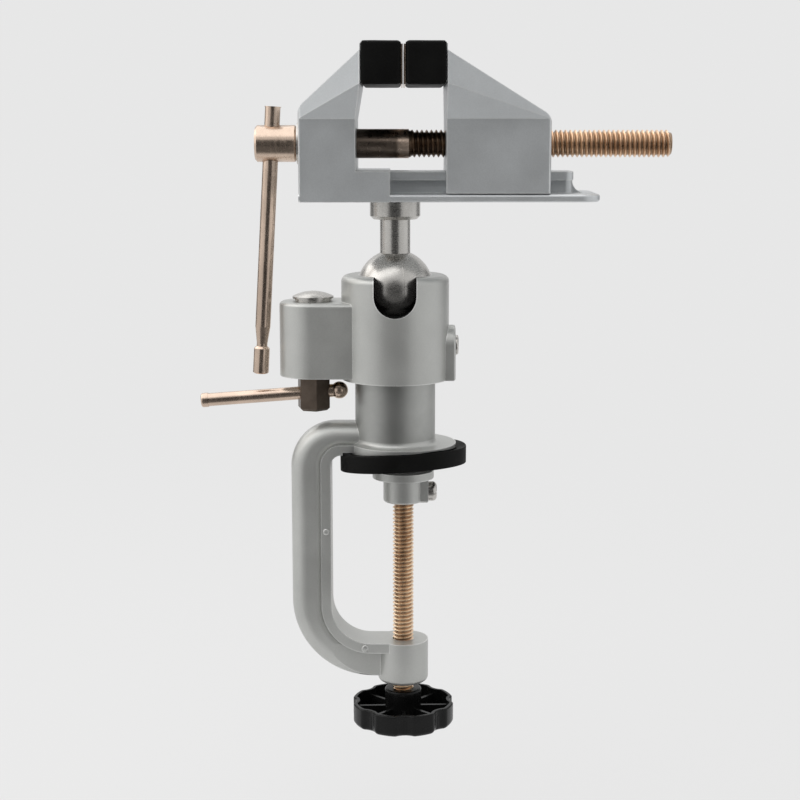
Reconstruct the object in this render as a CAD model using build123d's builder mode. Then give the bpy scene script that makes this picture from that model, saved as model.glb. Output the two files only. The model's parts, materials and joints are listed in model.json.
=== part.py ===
from build123d import *
import os
from math import cos, radians, sin, sqrt

# Ball vise for the edge of a bench, in millimetres, +Z up and +X along the jaws.
# A screw clamp grips the bench, a socket housing turns on the clamp's post, a ball
# stud leans and turns in the housing, and a small screw vise sits on the stud.
# Origin: centre of the rubber pad's underside, on the axis of the clamp screw.
# The post, the housing, the ball and the stud share an axis a little to the left.

# ---- Fits -----------------------------------------------------------------
running_gap = 0.05       # radial, for what turns or slides in a bore
passing_gap = 0.3        # between faces that pass without guiding each other
guide_gap = 0.15         # each side of the sliding jaw on its rail
small_round = 0.8        # broken edges of the castings

# ---- Bench pad and clamp frame ---------------------------------------------
pad_radius = 23.7
pad_height = 6.4
pad_floor = 2.6
pad_round = 2.0
pad_recess_margin = 1.0  # recess in the underside, outside the foot
pad_recess_depth = 0.6
disc_radius = 19.8
disc_thickness = 6.8
post_offset = -3.0       # post axis from the clamp screw's axis
post_diameter = 30.0
post_length = 40.6
post_foot_round = 2.1
groove_below_top = 3.8
groove_width = 3.4
groove_depth = 1.5
arm_reach = 42.2         # clamp screw axis to the back of the arm
arm_above_disc = 8.1
rib_width = 14.0
rib_depth = 11.3
rib_round = 6.0
rib_root_round = 3.5     # where the rib meets the flange
rib_seat = 1.0           # rib sunk into the flange
lower_rib_depth = 10.7
rib_taper_start = 26.0   # clamp screw axis to where the rib begins to narrow
rib_taper_end = 12.0
rib_end_width = 8.4      # rib's width at the boss
flange_width = 16.0
flange_thickness = 3.8
upper_outer_radius = 17.0
upper_inner_radius = 4.0
lower_outer_radius = 30.8
lower_inner_radius = 15.0
clamp_throat = 67.5      # pad underside to the lower arm
boss_diameter = 19.2
boss_height = 16.6
boss_round = 1.8

# ---- Clamp screw, foot and knob ---------------------------------------------
clamp_thread = 8.0
clamp_pitch = 1.5
clamp_thread_depth = 0.8
foot_gap = 0.5           # foot below the pad with the clamp closed
foot_radius = 11.6
foot_thickness = 3.7
foot_hub_radius = 7.5
foot_hub_height = 9.3
foot_floor = 2.2
foot_screw_drop = 5.5    # foot screw below the foot's disc
foot_lug_reach = 9.5
foot_lug_width = 8.0
foot_screw_thread = 4.0
foot_screw_head = 7.4
foot_screw_head_height = 3.2
foot_screw_tip = 2.8
swivel_groove_depth = 1.2
knob_gap = 8.3           # knob rim below the boss
knob_radius = 19.6
knob_valley_depth = 1.5
knob_valley_radius = 5.0
knob_lobes = 8
knob_turn = 2.0         # degrees, as the knob stands
knob_height = 8.4
knob_wall = 1.4
knob_floor = 2.4
knob_round = 2.0
knob_hub_radius = 7.0
knob_hub_rise = 5.0
knob_rib = 1.2
knob_rib_drop = 2.2
knob_lobe_round = 2.5
knob_rim_round = 0.6
insert_flats = 9.5
insert_height = 9.0

# ---- Socket housing -----------------------------------------------------------
ball_above_post = 17.5
ball_diameter = 28.4
housing_diameter = 40.0
housing_skirt = 16.3     # below the post's top
housing_above_ball = 5.0
housing_round = 2.5
slot_width = 15.5
slot_below_ball = 9.2
lug_reach = 30.5         # post axis to the lever's axis
lug_radius = 12.5
lug_raise = 1.3          # lug's underside above the housing's
lug_height = 27.7
lug_round = 1.4
lug_roof = 5.7
screw_lug_radius = 7.5
screw_lug_reach = 22.4
pan_thread = 5.0
pan_head = 7.4
pan_head_height = 1.2
pan_tip = 3.0

# ---- Ball seat and its clamp ---------------------------------------------------
seat_height = 8.5
seat_bevel = 3.0
wedge_diameter = 12.9
wedge_height = 22.5
wedge_nose_width = 8.0
wedge_nose_raise = 0.7   # nose above the post's top
wedge_nose_height = 4.8
wedge_nose_tip = 7.0     # nose's end from the post axis
wedge_play = 0.06        # nose to seat bevel
spindle_thread = 6.0
spindle_flats = 11.0
spindle_turn = 12.0      # degrees, hub's front edge towards the post
spindle_hub_edge = 1.0
spindle_hub_height = 12.3
spindle_length = 26.0
cap_nut_head = 15.3
cap_nut_height = 3.7
cap_nut_ring = 1.1
cap_nut_edge = 0.7
cap_nut_square = 9.0
cap_nut_sleeve = 8.5
cap_nut_reach = 9.0      # sleeve below the lug's roof
lever_diameter = 4.9
lever_droop = 4.34       # degrees
lever_left = 42.4        # hub axis to the left end
lever_right = 9.6        # hub axis to the end ball's centre
lever_drop = 5.6         # bar axis below the hub's top
lever_tip = 5.4
lever_ball = 6.5
lever_ball_seat = 1.6    # bar end past the ball's centre

# ---- Ball stud ---------------------------------------------------------------
stud_length = 32.5       # ball centre to the collar's top
neck_diameter = 11.2
collar_diameter = 18.6
collar_height = 7.0
collar_bevel = 1.2
stud_screw_thread = 6.0
stud_screw_head = 10.0
stud_screw_head_height = 6.0
stud_screw_length = 12.0
stud_screw_socket = 5.0

# ---- Vise head: the X values are from the post axis, the Z values from the collar ----
head_left = -34.3
fixed_box_right = -14.0
box_half_width = 21.0
box_top = 29.2
fixed_floor_right = -1.8
fixed_floor_top = 10.9
base_thickness = 2.8
base_right = 73.5
base_corner = 7.0
base_round = 1.0
rail_right = 64.5
rail_head_half = 11.0
rail_head_thickness = 3.0
rail_height = 10.5
rail_neck_half = 8.0
rail_corner = 3.0
rail_foot = 4.4          # concave foot at the rail's free end
jaw_half_width = 30.0
jaw_start = 41.4         # where the flare reaches the jaw's full width
jaw_shoulder = 52.7      # where the slope meets the jaw cover
jaw_bottom = 42.2
jaw_top = 55.0
jaw_block_inset = 1.2
fixed_slope_foot = 33.2
fixed_face = 0.9         # front of the fixed jaw's block
fixed_block_length = 13.1
head_round = 5.0
box_round = 2.0
moving_block_length = 13.35
moving_box_length = 37.1
moving_box_top = 29.3
moving_slope_foot = 30.3
moving_gap = 0.3         # moving jaw above the base
jaw_gap = 0.35           # between the jaw plates as the vise stands

# ---- Jaw covers, plates and their screws ----------------------------------------
cover_side = 2.1
cover_top = 1.2
cover_bottom = 1.5
cover_front = 1.25
cover_round = 1.3
plate_flange = 0.6
plate_side = 0.9         # plate edge inside the cover's edge
plate_low = 0.6          # plate edge below the cover
window_margin = 2.8
serration_pitch = 3.5
serration_depth = 0.25
jaw_screw_spread = 18.0
jaw_screw_thread = 3.0
jaw_screw_head = 5.6
jaw_screw_length = 9.0
jaw_screw_recess = 3.0
serration_count = 17

# ---- Lead screw and its handle ---------------------------------------------------
screw_rise = 20.4        # screw axis above the collar
screw_head_diameter = 13.4
screw_head_length = 15.3
washer_thickness = 1.5
washer_diameter = 15.0
shank_diameter = 10.6
shank_end = 5.0
lead_thread = 10.0
lead_pitch = 1.75
lead_thread_depth = 0.95
lead_screw_end = 100.8
pin_diameter = 3.0
pin_groove_diameter = 8.0
pin_from_washer = 9.0
pin_side = 5.55
pin_above_axis = 4.0
handle_diameter = 5.65
handle_tilt = 3.38       # degrees from upright
handle_hole = 9.5        # cross hole from the washer's face
handle_above = 13.4
handle_rim = 0.25
handle_neck = 4.0
handle_neck_start = 67.4
handle_taper = 6.3
handle_collar = 1.1      # neck above the cap
handle_neck_length = 7.0
handle_cap_diameter = 5.9
handle_cap_length = 10.2
handle_cap_bevel = 0.8

# ---- Heights and places that follow from the sizes above ---------------------------
disc_top = pad_floor + disc_thickness
post_top = disc_top + post_length
arm_top = disc_top + arm_above_disc
arm_underside = disc_top - flange_thickness
arm_bottom = -clamp_throat - flange_thickness - lower_rib_depth
arm_inner = arm_reach - rib_depth - flange_thickness
rib_root = flange_thickness - rib_seat
boss_bottom = -clamp_throat - boss_height
knob_top = boss_bottom - knob_gap
knob_bottom = knob_top - knob_height
knob_hub_top = knob_top + knob_hub_rise
foot_top = -foot_gap
foot_disc_bottom = foot_top - foot_thickness
foot_bottom = foot_disc_bottom - foot_hub_height
foot_screw_z = foot_disc_bottom - foot_screw_drop
screw_tip_z = foot_top - foot_floor - passing_gap
ball_z = post_top + ball_above_post
cavity_radius = ball_diameter / 2 + running_gap
seat_radius = cavity_radius - 2 * running_gap
housing_bottom = post_top - housing_skirt
housing_top = ball_z + housing_above_ball
pan_screw_z = post_top - groove_below_top
lug_x = post_offset - lug_reach
lug_bottom = housing_bottom + lug_raise
lug_top = lug_bottom + lug_height
roof_bottom = lug_top - lug_roof
wedge_bottom = housing_bottom + passing_gap
hub_bottom = wedge_bottom - spindle_hub_height
lever_z = wedge_bottom - lever_drop
head_z = ball_z + stud_length
screw_z = head_z + screw_rise
fixed_shoulder = fixed_face - fixed_block_length
fixed_plate_face = fixed_face + cover_front + plate_flange
moving_plate_face = fixed_plate_face + jaw_gap
moving_face = moving_plate_face + plate_flange + cover_front
moving_shoulder = moving_face + moving_block_length
moving_right = moving_shoulder + moving_box_length
jaw_middle = (jaw_bottom + jaw_top) / 2
window_half = jaw_half_width - jaw_block_inset - window_margin
washer_x = head_left - washer_thickness
handle_x = washer_x - handle_hole
pin_x = washer_x + pin_from_washer
rail_neck_height = rail_height - rail_head_thickness - base_thickness
handle_plane = Plane(
    origin=(post_offset + handle_x, 0, screw_z),
    x_dir=(0, 1, 0),
    z_dir=(sin(radians(handle_tilt)), 0, cos(radians(handle_tilt))),
)


def level(height, x=0.0):
    """Horizontal plane at a height, with its origin on the axis at x."""
    return Plane(origin=(x, 0, height), x_dir=(1, 0, 0), z_dir=(0, 0, 1))


def facing_right(x, z=0.0):
    """Plane across the X axis, seen from the right: its own X is Y, its own Y is Z."""
    return Plane(origin=(x, 0, z), x_dir=(0, 1, 0), z_dir=(1, 0, 0))


def upright(x=0.0, z=0.0):
    """Plane through the X and Z axes, with its origin at x and z."""
    return Plane(origin=(x, 0, z), x_dir=(1, 0, 0), z_dir=(0, -1, 0))


def thread_points(start, end, pitch, crest, depth):
    """Points of a screw thread's section, from start to end along the screw."""
    points = []
    turns = int((end - start) / pitch)
    for turn in range(turns):
        along = start + turn * pitch
        points.append((along, crest - depth))
        points.append((along + 0.42 * pitch, crest))
        points.append((along + 0.58 * pitch, crest))
    points.append((start + turns * pitch, crest - depth))
    points.append((end, crest - depth))
    return points


def rim_edges(edges, line, distance):
    """Edges whose middle lies at one distance from a line."""
    return edges.filter_by(
        lambda edge: abs(Vertex(edge @ 0.5).distance_to(line) - distance) < 0.001
    )


# ---- Bench pad: a rubber cup pressed over the frame's disc --------------------------
with BuildPart() as bench_pad:
    with BuildSketch(level(0)):
        Circle(pad_radius)
    extrude(amount=pad_height)
    fillet(bench_pad.edges().filter_by(GeomType.CIRCLE), pad_round)
    with BuildSketch(level(pad_floor)):
        Circle(disc_radius + running_gap)
    extrude(amount=pad_height, mode=Mode.SUBTRACT)
    with BuildSketch(level(0)):
        Circle(foot_radius + pad_recess_margin)
    extrude(amount=pad_recess_depth, mode=Mode.SUBTRACT)

# ---- Clamp frame: disc, post and C-shaped arm, cast in one piece ---------------------
with BuildPart() as clamp_frame:
    with BuildLine(upright()) as back_line:
        FilletPolyline(
            (post_offset, arm_top),
            (-arm_reach, arm_top),
            (-arm_reach, arm_bottom),
            (0, arm_bottom),
            radius=(upper_outer_radius, lower_outer_radius),
        )
    with BuildLine(upright()) as root_line:
        FilletPolyline(
            (0, -clamp_throat - rib_root),
            (-arm_inner - rib_root, -clamp_throat - rib_root),
            (-arm_inner - rib_root, arm_underside + rib_root),
            (post_offset, arm_underside + rib_root),
            radius=(lower_inner_radius + rib_root, upper_inner_radius + rib_root),
        )
    with BuildSketch(upright()):
        with BuildLine():
            FilletPolyline(
                (post_offset, arm_top),
                (-arm_reach, arm_top),
                (-arm_reach, arm_bottom),
                (0, arm_bottom),
                radius=(upper_outer_radius, lower_outer_radius),
            )
            Line((0, arm_bottom), (0, -clamp_throat - rib_root))
            FilletPolyline(
                (0, -clamp_throat - rib_root),
                (-arm_inner - rib_root, -clamp_throat - rib_root),
                (-arm_inner - rib_root, arm_underside + rib_root),
                (post_offset, arm_underside + rib_root),
                radius=(lower_inner_radius + rib_root, upper_inner_radius + rib_root),
            )
            Line((post_offset, arm_underside + rib_root), (post_offset, arm_top))
        make_face()
    extrude(amount=rib_width / 2, both=True)
    fillet(rim_edges(clamp_frame.edges(), back_line.wire(), rib_width / 2), rib_round)
    fillet(rim_edges(clamp_frame.edges(), root_line.wire(), rib_width / 2), rib_root_round)
    for side in (-1, 1):
        with BuildSketch(level(arm_bottom)):
            with BuildLine():
                Polyline(
                    (-rib_taper_start, side * rib_width / 2),
                    (-rib_taper_end, side * rib_end_width / 2),
                    (0, side * rib_end_width / 2),
                    (0, side * rib_width),
                    (-rib_taper_start, side * rib_width),
                    (-rib_taper_start, side * rib_width / 2),
                )
            make_face()
        extrude(amount=lower_rib_depth + flange_thickness, mode=Mode.SUBTRACT)
    with BuildSketch(upright()):
        with BuildLine():
            FilletPolyline(
                (0, -clamp_throat),
                (-arm_inner, -clamp_throat),
                (-arm_inner, arm_underside),
                (post_offset, arm_underside),
                radius=(lower_inner_radius, upper_inner_radius),
            )
            Line((post_offset, arm_underside), (post_offset, arm_underside + flange_thickness))
            FilletPolyline(
                (post_offset, arm_underside + flange_thickness),
                (-arm_inner - flange_thickness, arm_underside + flange_thickness),
                (-arm_inner - flange_thickness, -clamp_throat - flange_thickness),
                (0, -clamp_throat - flange_thickness),
                radius=(upper_inner_radius + flange_thickness, lower_inner_radius + flange_thickness),
            )
            Line((0, -clamp_throat - flange_thickness), (0, -clamp_throat))
        make_face()
    extrude(amount=flange_width / 2, both=True)
    with BuildSketch(level(-1)):
        Circle(pad_radius + passing_gap)
    extrude(amount=pad_height + passing_gap + 1, mode=Mode.SUBTRACT)
    with BuildSketch(level(pad_floor)):
        Circle(disc_radius)
    extrude(amount=disc_thickness)
    with BuildSketch(upright(post_offset)):
        with BuildLine():
            Polyline(
                (0, disc_top - 1),
                (post_diameter / 2 + post_foot_round, disc_top - 1),
                (post_diameter / 2 + post_foot_round, disc_top),
            )
            RadiusArc(
                (post_diameter / 2 + post_foot_round, disc_top),
                (post_diameter / 2, disc_top + post_foot_round),
                post_foot_round,
            )
            Polyline(
                (post_diameter / 2, disc_top + post_foot_round),
                (post_diameter / 2, pan_screw_z - groove_width / 2),
                (post_diameter / 2 - groove_depth, pan_screw_z - groove_width / 2),
                (post_diameter / 2 - groove_depth, pan_screw_z + groove_width / 2),
                (post_diameter / 2, pan_screw_z + groove_width / 2),
                (post_diameter / 2, post_top),
                (0, post_top),
                (0, disc_top - 1),
            )
        make_face()
    revolve(axis=Axis((post_offset, 0, 0), (0, 0, 1)))
    with BuildSketch(level(boss_bottom)):
        Circle(boss_diameter / 2)
    extrude(amount=boss_height)
    fillet(clamp_frame.edges().group_by(Axis.Z)[0], boss_round)
    with BuildSketch(level(boss_bottom)):
        Circle(clamp_thread / 2 + running_gap)
    extrude(amount=boss_height, mode=Mode.SUBTRACT)

# ---- Clamp screw: it turns in the boss, and carries the foot on its upper end -----------
with BuildPart() as clamp_screw:
    screw_neck_top = foot_screw_z + foot_screw_tip / 2 + running_gap
    screw_neck_bottom = foot_screw_z - foot_screw_tip / 2 - running_gap
    screw_neck_radius = clamp_thread / 2 - swivel_groove_depth
    with BuildSketch(Plane(origin=(0, 0, 0), x_dir=(0, 0, 1), z_dir=(0, 1, 0))):
        with BuildLine():
            Polyline(
                (knob_bottom + knob_floor, 0),
                (knob_bottom + knob_floor, clamp_thread / 2 - clamp_thread_depth),
                *thread_points(knob_bottom + knob_floor + 1, foot_bottom - 1, clamp_pitch,
                               clamp_thread / 2, clamp_thread_depth),
                (foot_bottom - 0.5, clamp_thread / 2),
                (screw_neck_bottom, clamp_thread / 2),
                (screw_neck_bottom, screw_neck_radius),
                (screw_neck_top, screw_neck_radius),
                (screw_neck_top, clamp_thread / 2),
                (screw_tip_z, clamp_thread / 2),
                (screw_tip_z, 0),
                (knob_bottom + knob_floor, 0),
            )
        make_face()
    revolve(axis=Axis.Z)

# ---- Swivel foot: the disc that presses on the bench from below --------------------------
with BuildPart() as swivel_foot:
    with BuildSketch(level(foot_disc_bottom)):
        Circle(foot_radius)
    extrude(amount=foot_thickness)
    chamfer(swivel_foot.edges().group_by(Axis.Z)[-1], small_round)
    with BuildSketch(level(foot_bottom)):
        Circle(foot_hub_radius)
        with Locations((foot_lug_reach / 2, 0)):
            Rectangle(foot_lug_reach, foot_lug_width)
    extrude(amount=foot_hub_height)
    fillet(swivel_foot.edges().group_by(Axis.Z)[0], small_round)
    with BuildSketch(level(foot_bottom)):
        Circle(clamp_thread / 2 + running_gap)
    extrude(amount=screw_tip_z + passing_gap - foot_bottom, mode=Mode.SUBTRACT)
    with BuildSketch(facing_right(0, foot_screw_z)):
        Circle(foot_screw_thread / 2)
    extrude(amount=foot_lug_reach + 1, mode=Mode.SUBTRACT)

# ---- Foot screw: its tip runs in the groove at the screw's end -----------------------------
with BuildPart() as foot_screw:
    foot_tip_x = screw_neck_radius + running_gap
    with BuildSketch(facing_right(foot_tip_x, foot_screw_z)):
        Circle(foot_screw_tip / 2)
    extrude(amount=clamp_thread / 2 + running_gap - foot_tip_x)
    with BuildSketch(facing_right(clamp_thread / 2 + running_gap, foot_screw_z)):
        Circle(foot_screw_thread / 2)
    extrude(amount=foot_lug_reach - clamp_thread / 2 - running_gap)
    with BuildSketch(facing_right(foot_lug_reach, foot_screw_z)):
        Circle(foot_screw_head / 2)
    extrude(amount=foot_screw_head_height)
    fillet(foot_screw.faces().sort_by(Axis.X)[-1].edges(), 1.6)
    with BuildSketch(facing_right(foot_lug_reach + foot_screw_head_height, foot_screw_z)):
        Rectangle(foot_screw_head, 1.1)
    extrude(amount=-1.2, mode=Mode.SUBTRACT)

# ---- Knob: a moulded cup with lobes, open upward, with a rib to each valley -----------------
with BuildPart() as knob:
    valley_centre = knob_radius - knob_valley_depth + knob_valley_radius
    with BuildSketch(level(knob_bottom)):
        Circle(knob_radius)
        with PolarLocations(valley_centre, knob_lobes, start_angle=-90 + knob_turn):
            Circle(knob_valley_radius, mode=Mode.SUBTRACT)
        fillet(vertices(), knob_lobe_round)
    extrude(amount=knob_height)
    fillet(knob.edges().group_by(Axis.Z)[0], knob_round)
    fillet(knob.edges().group_by(Axis.Z)[-1], knob_rim_round)
    with BuildSketch(level(knob_bottom + knob_floor)):
        Circle(knob_radius - knob_wall)
        with PolarLocations(valley_centre, knob_lobes, start_angle=-90 + knob_turn):
            Circle(knob_valley_radius + knob_wall, mode=Mode.SUBTRACT)
    extrude(amount=knob_height, mode=Mode.SUBTRACT)
    with BuildSketch(level(knob_bottom + knob_floor / 2)):
        with PolarLocations(0, knob_lobes, start_angle=-90 + knob_turn):
            with Locations(((knob_radius - knob_wall) / 2, 0)):
                Rectangle(knob_radius - knob_wall, knob_rib)
    extrude(amount=knob_height - knob_floor / 2 - knob_rib_drop)
    with BuildSketch(level(knob_bottom + knob_floor / 2)):
        Circle(knob_hub_radius)
    extrude(amount=knob_hub_top - knob_bottom - knob_floor / 2)
    fillet(knob.edges().group_by(Axis.Z)[-1], small_round)
    with BuildSketch(level(knob_bottom + knob_floor)):
        Circle(clamp_thread / 2)
    extrude(amount=knob_height * 2, mode=Mode.SUBTRACT)
    with BuildSketch(level(knob_bottom + knob_floor)):
        RegularPolygon(insert_flats / 2, 6, major_radius=False)
    extrude(amount=insert_height, mode=Mode.SUBTRACT)

# ---- Knob insert: a steel nut moulded into the knob's hub, fixed on the screw -----------------
with BuildPart() as knob_insert:
    with BuildSketch(level(knob_bottom + knob_floor)):
        RegularPolygon(insert_flats / 2, 6, major_radius=False)
        Circle(clamp_thread / 2, mode=Mode.SUBTRACT)
    extrude(amount=insert_height)

# ---- Socket housing: it turns on the post and holds the ball, and carries the lever ------------
with BuildPart() as socket_housing:
    with BuildSketch(level(lug_bottom, post_offset)):
        with Locations((-lug_reach, 0)):
            Circle(lug_radius)
        with Locations((-lug_reach / 2, 0)):
            Rectangle(lug_reach, 2 * lug_radius)
    extrude(amount=lug_height)
    fillet(socket_housing.edges().group_by(Axis.Z)[-1], lug_round)
    with BuildSketch(level(housing_bottom, post_offset)):
        Circle(housing_diameter / 2)
    extrude(amount=housing_top - housing_bottom)
    fillet(socket_housing.edges().group_by(Axis.Z)[-1], housing_round)
    with BuildSketch(facing_right(post_offset)):
        with Locations((0, pan_screw_z)):
            Circle(screw_lug_radius)
        with Locations((0, (pan_screw_z + housing_bottom) / 2)):
            Rectangle(2 * screw_lug_radius, pan_screw_z - housing_bottom)
    extrude(amount=screw_lug_reach)
    fillet(socket_housing.faces().sort_by(Axis.X)[-1].edges(), small_round)
    # Bore over the post, with a shoulder on the post's top
    with BuildSketch(level(housing_bottom, post_offset)):
        Circle(post_diameter / 2 + running_gap)
    extrude(amount=housing_skirt, mode=Mode.SUBTRACT)
    # Bore for the seat, up to the middle of the ball, and the round roof above it
    with BuildSketch(level(post_top, post_offset)):
        Circle(cavity_radius)
    extrude(amount=ball_above_post, mode=Mode.SUBTRACT)
    with Locations((post_offset, 0, ball_z)):
        Sphere(cavity_radius, mode=Mode.SUBTRACT)
    # Slot that lets the stud lie down towards the front
    with BuildSketch(Plane(origin=(post_offset, 0, 0), x_dir=(1, 0, 0), z_dir=(0, -1, 0))):
        with Locations((0, ball_z - slot_below_ball + slot_width / 2)):
            Circle(slot_width / 2)
        with Locations((0, ball_z - slot_below_ball + slot_width)):
            Rectangle(slot_width, slot_width)
    extrude(amount=housing_diameter, mode=Mode.SUBTRACT)
    # Bore for the wedge, from below, and the key slot from it to the seat
    with BuildSketch(level(lug_bottom, lug_x)):
        Circle(wedge_diameter / 2 + 2 * running_gap)
    extrude(amount=roof_bottom - lug_bottom, mode=Mode.SUBTRACT)
    with BuildSketch(level(housing_bottom, post_offset)):
        with Locations((-lug_reach / 2, 0)):
            Rectangle(lug_reach, wedge_nose_width + 4 * running_gap)
    extrude(amount=roof_bottom - housing_bottom, mode=Mode.SUBTRACT)
    # Square hole for the cap nut and the threaded hole for the pan screw
    with BuildSketch(level(roof_bottom, lug_x)):
        Rectangle(cap_nut_square, cap_nut_square)
    extrude(amount=lug_roof, mode=Mode.SUBTRACT)
    with BuildSketch(facing_right(post_offset, pan_screw_z)):
        Circle(pan_thread / 2)
    extrude(amount=screw_lug_reach, mode=Mode.SUBTRACT)

# ---- Pan screw: its tip runs in the post's groove and holds the housing down ---------------------
with BuildPart() as pan_screw:
    pan_tip_x = post_offset + post_diameter / 2 - groove_depth + 0.2
    pan_body_x = post_offset + post_diameter / 2 + running_gap
    pan_head_x = post_offset + screw_lug_reach
    with BuildSketch(facing_right(pan_tip_x, pan_screw_z)):
        Circle(pan_tip / 2)
    extrude(amount=pan_body_x - pan_tip_x)
    with BuildSketch(facing_right(pan_body_x, pan_screw_z)):
        Circle(pan_thread / 2)
    extrude(amount=pan_head_x - pan_body_x)
    with BuildSketch(facing_right(pan_head_x, pan_screw_z)):
        Circle(pan_head / 2)
    extrude(amount=pan_head_height)
    fillet(pan_screw.faces().sort_by(Axis.X)[-1].edges(), small_round)
    with BuildSketch(facing_right(pan_head_x + pan_head_height, pan_screw_z)):
        Rectangle(1.0, pan_head)
    extrude(amount=-pan_head_height / 2, mode=Mode.SUBTRACT)

# ---- Ball seat: the cup under the ball, with a bevel that the wedge lifts -------------------------
with BuildPart() as ball_seat:
    with BuildSketch(level(post_top, post_offset)):
        Circle(seat_radius)
    extrude(amount=seat_height)
    chamfer(ball_seat.edges().group_by(Axis.Z)[0], seat_bevel)
    with Locations((post_offset, 0, ball_z)):
        Sphere(cavity_radius, mode=Mode.SUBTRACT)

# ---- Clamp wedge: a sleeve in the lug whose nose lifts the seat ------------------------------------
with BuildPart() as clamp_wedge:
    nose_bottom = post_top + wedge_nose_raise
    with BuildSketch(level(wedge_bottom, lug_x)):
        Circle(wedge_diameter / 2)
    extrude(amount=wedge_height)
    with BuildSketch(level(nose_bottom, post_offset)):
        with Locations((-(lug_reach + wedge_nose_tip) / 2, 0)):
            Rectangle(lug_reach - wedge_nose_tip, wedge_nose_width)
    extrude(amount=wedge_nose_height)
    with BuildSketch(upright(post_offset)):
        with BuildLine():
            Polyline(
                (0, post_top),
                (seat_radius - seat_bevel + sqrt(2) * wedge_play, post_top),
                (seat_radius + sqrt(2) * wedge_play, post_top + seat_bevel),
                (seat_radius + sqrt(2) * wedge_play, post_top + seat_height),
                (0, post_top + seat_height),
                (0, post_top),
            )
        make_face()
    revolve(axis=Axis((post_offset, 0, 0), (0, 0, 1)), mode=Mode.SUBTRACT)
    with BuildSketch(level(wedge_bottom, lug_x)):
        Circle(spindle_thread / 2 + 2 * running_gap)
    extrude(amount=wedge_height, mode=Mode.SUBTRACT)
    with BuildSketch(level(roof_bottom - cap_nut_reach - 1, lug_x)):
        Circle(cap_nut_sleeve / 2 + 2 * running_gap)
    extrude(amount=wedge_height, mode=Mode.SUBTRACT)

# ---- Cap nut: domed head on the lug, square neck in its roof, sleeve around the spindle -------------
with BuildPart() as clamp_cap_nut:
    dome_rise = cap_nut_height - cap_nut_ring - cap_nut_edge
    dome_radius = ((cap_nut_head / 2) ** 2 + dome_rise ** 2) / (2 * dome_rise)
    with BuildSketch(level(roof_bottom - cap_nut_reach, lug_x)):
        Circle(cap_nut_sleeve / 2)
    extrude(amount=cap_nut_reach)
    with BuildSketch(level(roof_bottom, lug_x)):
        Rectangle(cap_nut_square - 2 * running_gap, cap_nut_square - 2 * running_gap)
    extrude(amount=lug_roof)
    with BuildSketch(level(lug_top, lug_x)):
        Circle(cap_nut_head / 2 - small_round)
    extrude(amount=cap_nut_ring)
    with BuildSketch(upright(lug_x)):
        with BuildLine():
            Polyline(
                (0, lug_top + cap_nut_height),
                (0, lug_top + cap_nut_ring),
                (cap_nut_head / 2, lug_top + cap_nut_ring),
                (cap_nut_head / 2, lug_top + cap_nut_ring + cap_nut_edge),
            )
            RadiusArc(
                (cap_nut_head / 2, lug_top + cap_nut_ring + cap_nut_edge),
                (0, lug_top + cap_nut_height),
                -dome_radius,
            )
        make_face()
    revolve(axis=Axis((lug_x, 0, 0), (0, 0, 1)))
    with BuildSketch(level(roof_bottom - cap_nut_reach, lug_x)):
        Circle(spindle_thread / 2 + running_gap)
    extrude(amount=wedge_bottom + spindle_length + 1 - roof_bottom + cap_nut_reach, mode=Mode.SUBTRACT)

# ---- Lever: spindle with a hexagon hub, and the bar that slides through it ---------------------------
lever_plane = Plane(
    origin=(lug_x, 0, lever_z),
    x_dir=(0, 1, 0),
    z_dir=(cos(radians(lever_droop)), 0, sin(radians(lever_droop))),
)
with BuildPart() as clamp_spindle:
    with BuildSketch(level(hub_bottom, lug_x)):
        RegularPolygon(spindle_flats / 2, 6, major_radius=False, rotation=30 + spindle_turn)
    extrude(amount=spindle_hub_height)
    chamfer(clamp_spindle.edges().group_by(Axis.Z)[0], spindle_hub_edge)
    with BuildSketch(Plane(origin=(lug_x, 0, 0), x_dir=(0, 0, 1), z_dir=(0, 1, 0))):
        with BuildLine():
            Polyline(
                (wedge_bottom - 1, 0),
                (wedge_bottom - 1, spindle_thread / 2),
                (roof_bottom - cap_nut_reach - 2, spindle_thread / 2),
                *thread_points(roof_bottom - cap_nut_reach - 1.5, wedge_bottom + spindle_length, 1.0,
                               spindle_thread / 2, 0.5),
                (wedge_bottom + spindle_length, 0),
                (wedge_bottom - 1, 0),
            )
        make_face()
    revolve(axis=Axis((lug_x, 0, 0), (0, 0, 1)))
    with BuildSketch(lever_plane.offset(-spindle_flats)):
        Circle(lever_diameter / 2 + running_gap)
    extrude(amount=2 * spindle_flats, mode=Mode.SUBTRACT)

with BuildPart() as lever_bar:
    with BuildSketch(lever_plane.offset(-lever_left)):
        Circle(lever_diameter / 2)
    extrude(amount=lever_left + lever_right - lever_ball_seat)
    with BuildSketch(lever_plane.offset(-lever_left)):
        Circle(lever_tip / 2)
    extrude(amount=lever_tip / 2)
    fillet(lever_bar.edges().group_by(Axis.X)[0], small_round)

with BuildPart() as lever_end_ball:
    with Locations(lever_plane.offset(lever_right)):
        Sphere(lever_ball / 2)
    with BuildSketch(lever_plane.offset(lever_right - lever_ball)):
        Circle(lever_diameter / 2)
    extrude(amount=lever_ball - lever_ball_seat, mode=Mode.SUBTRACT)

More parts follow.
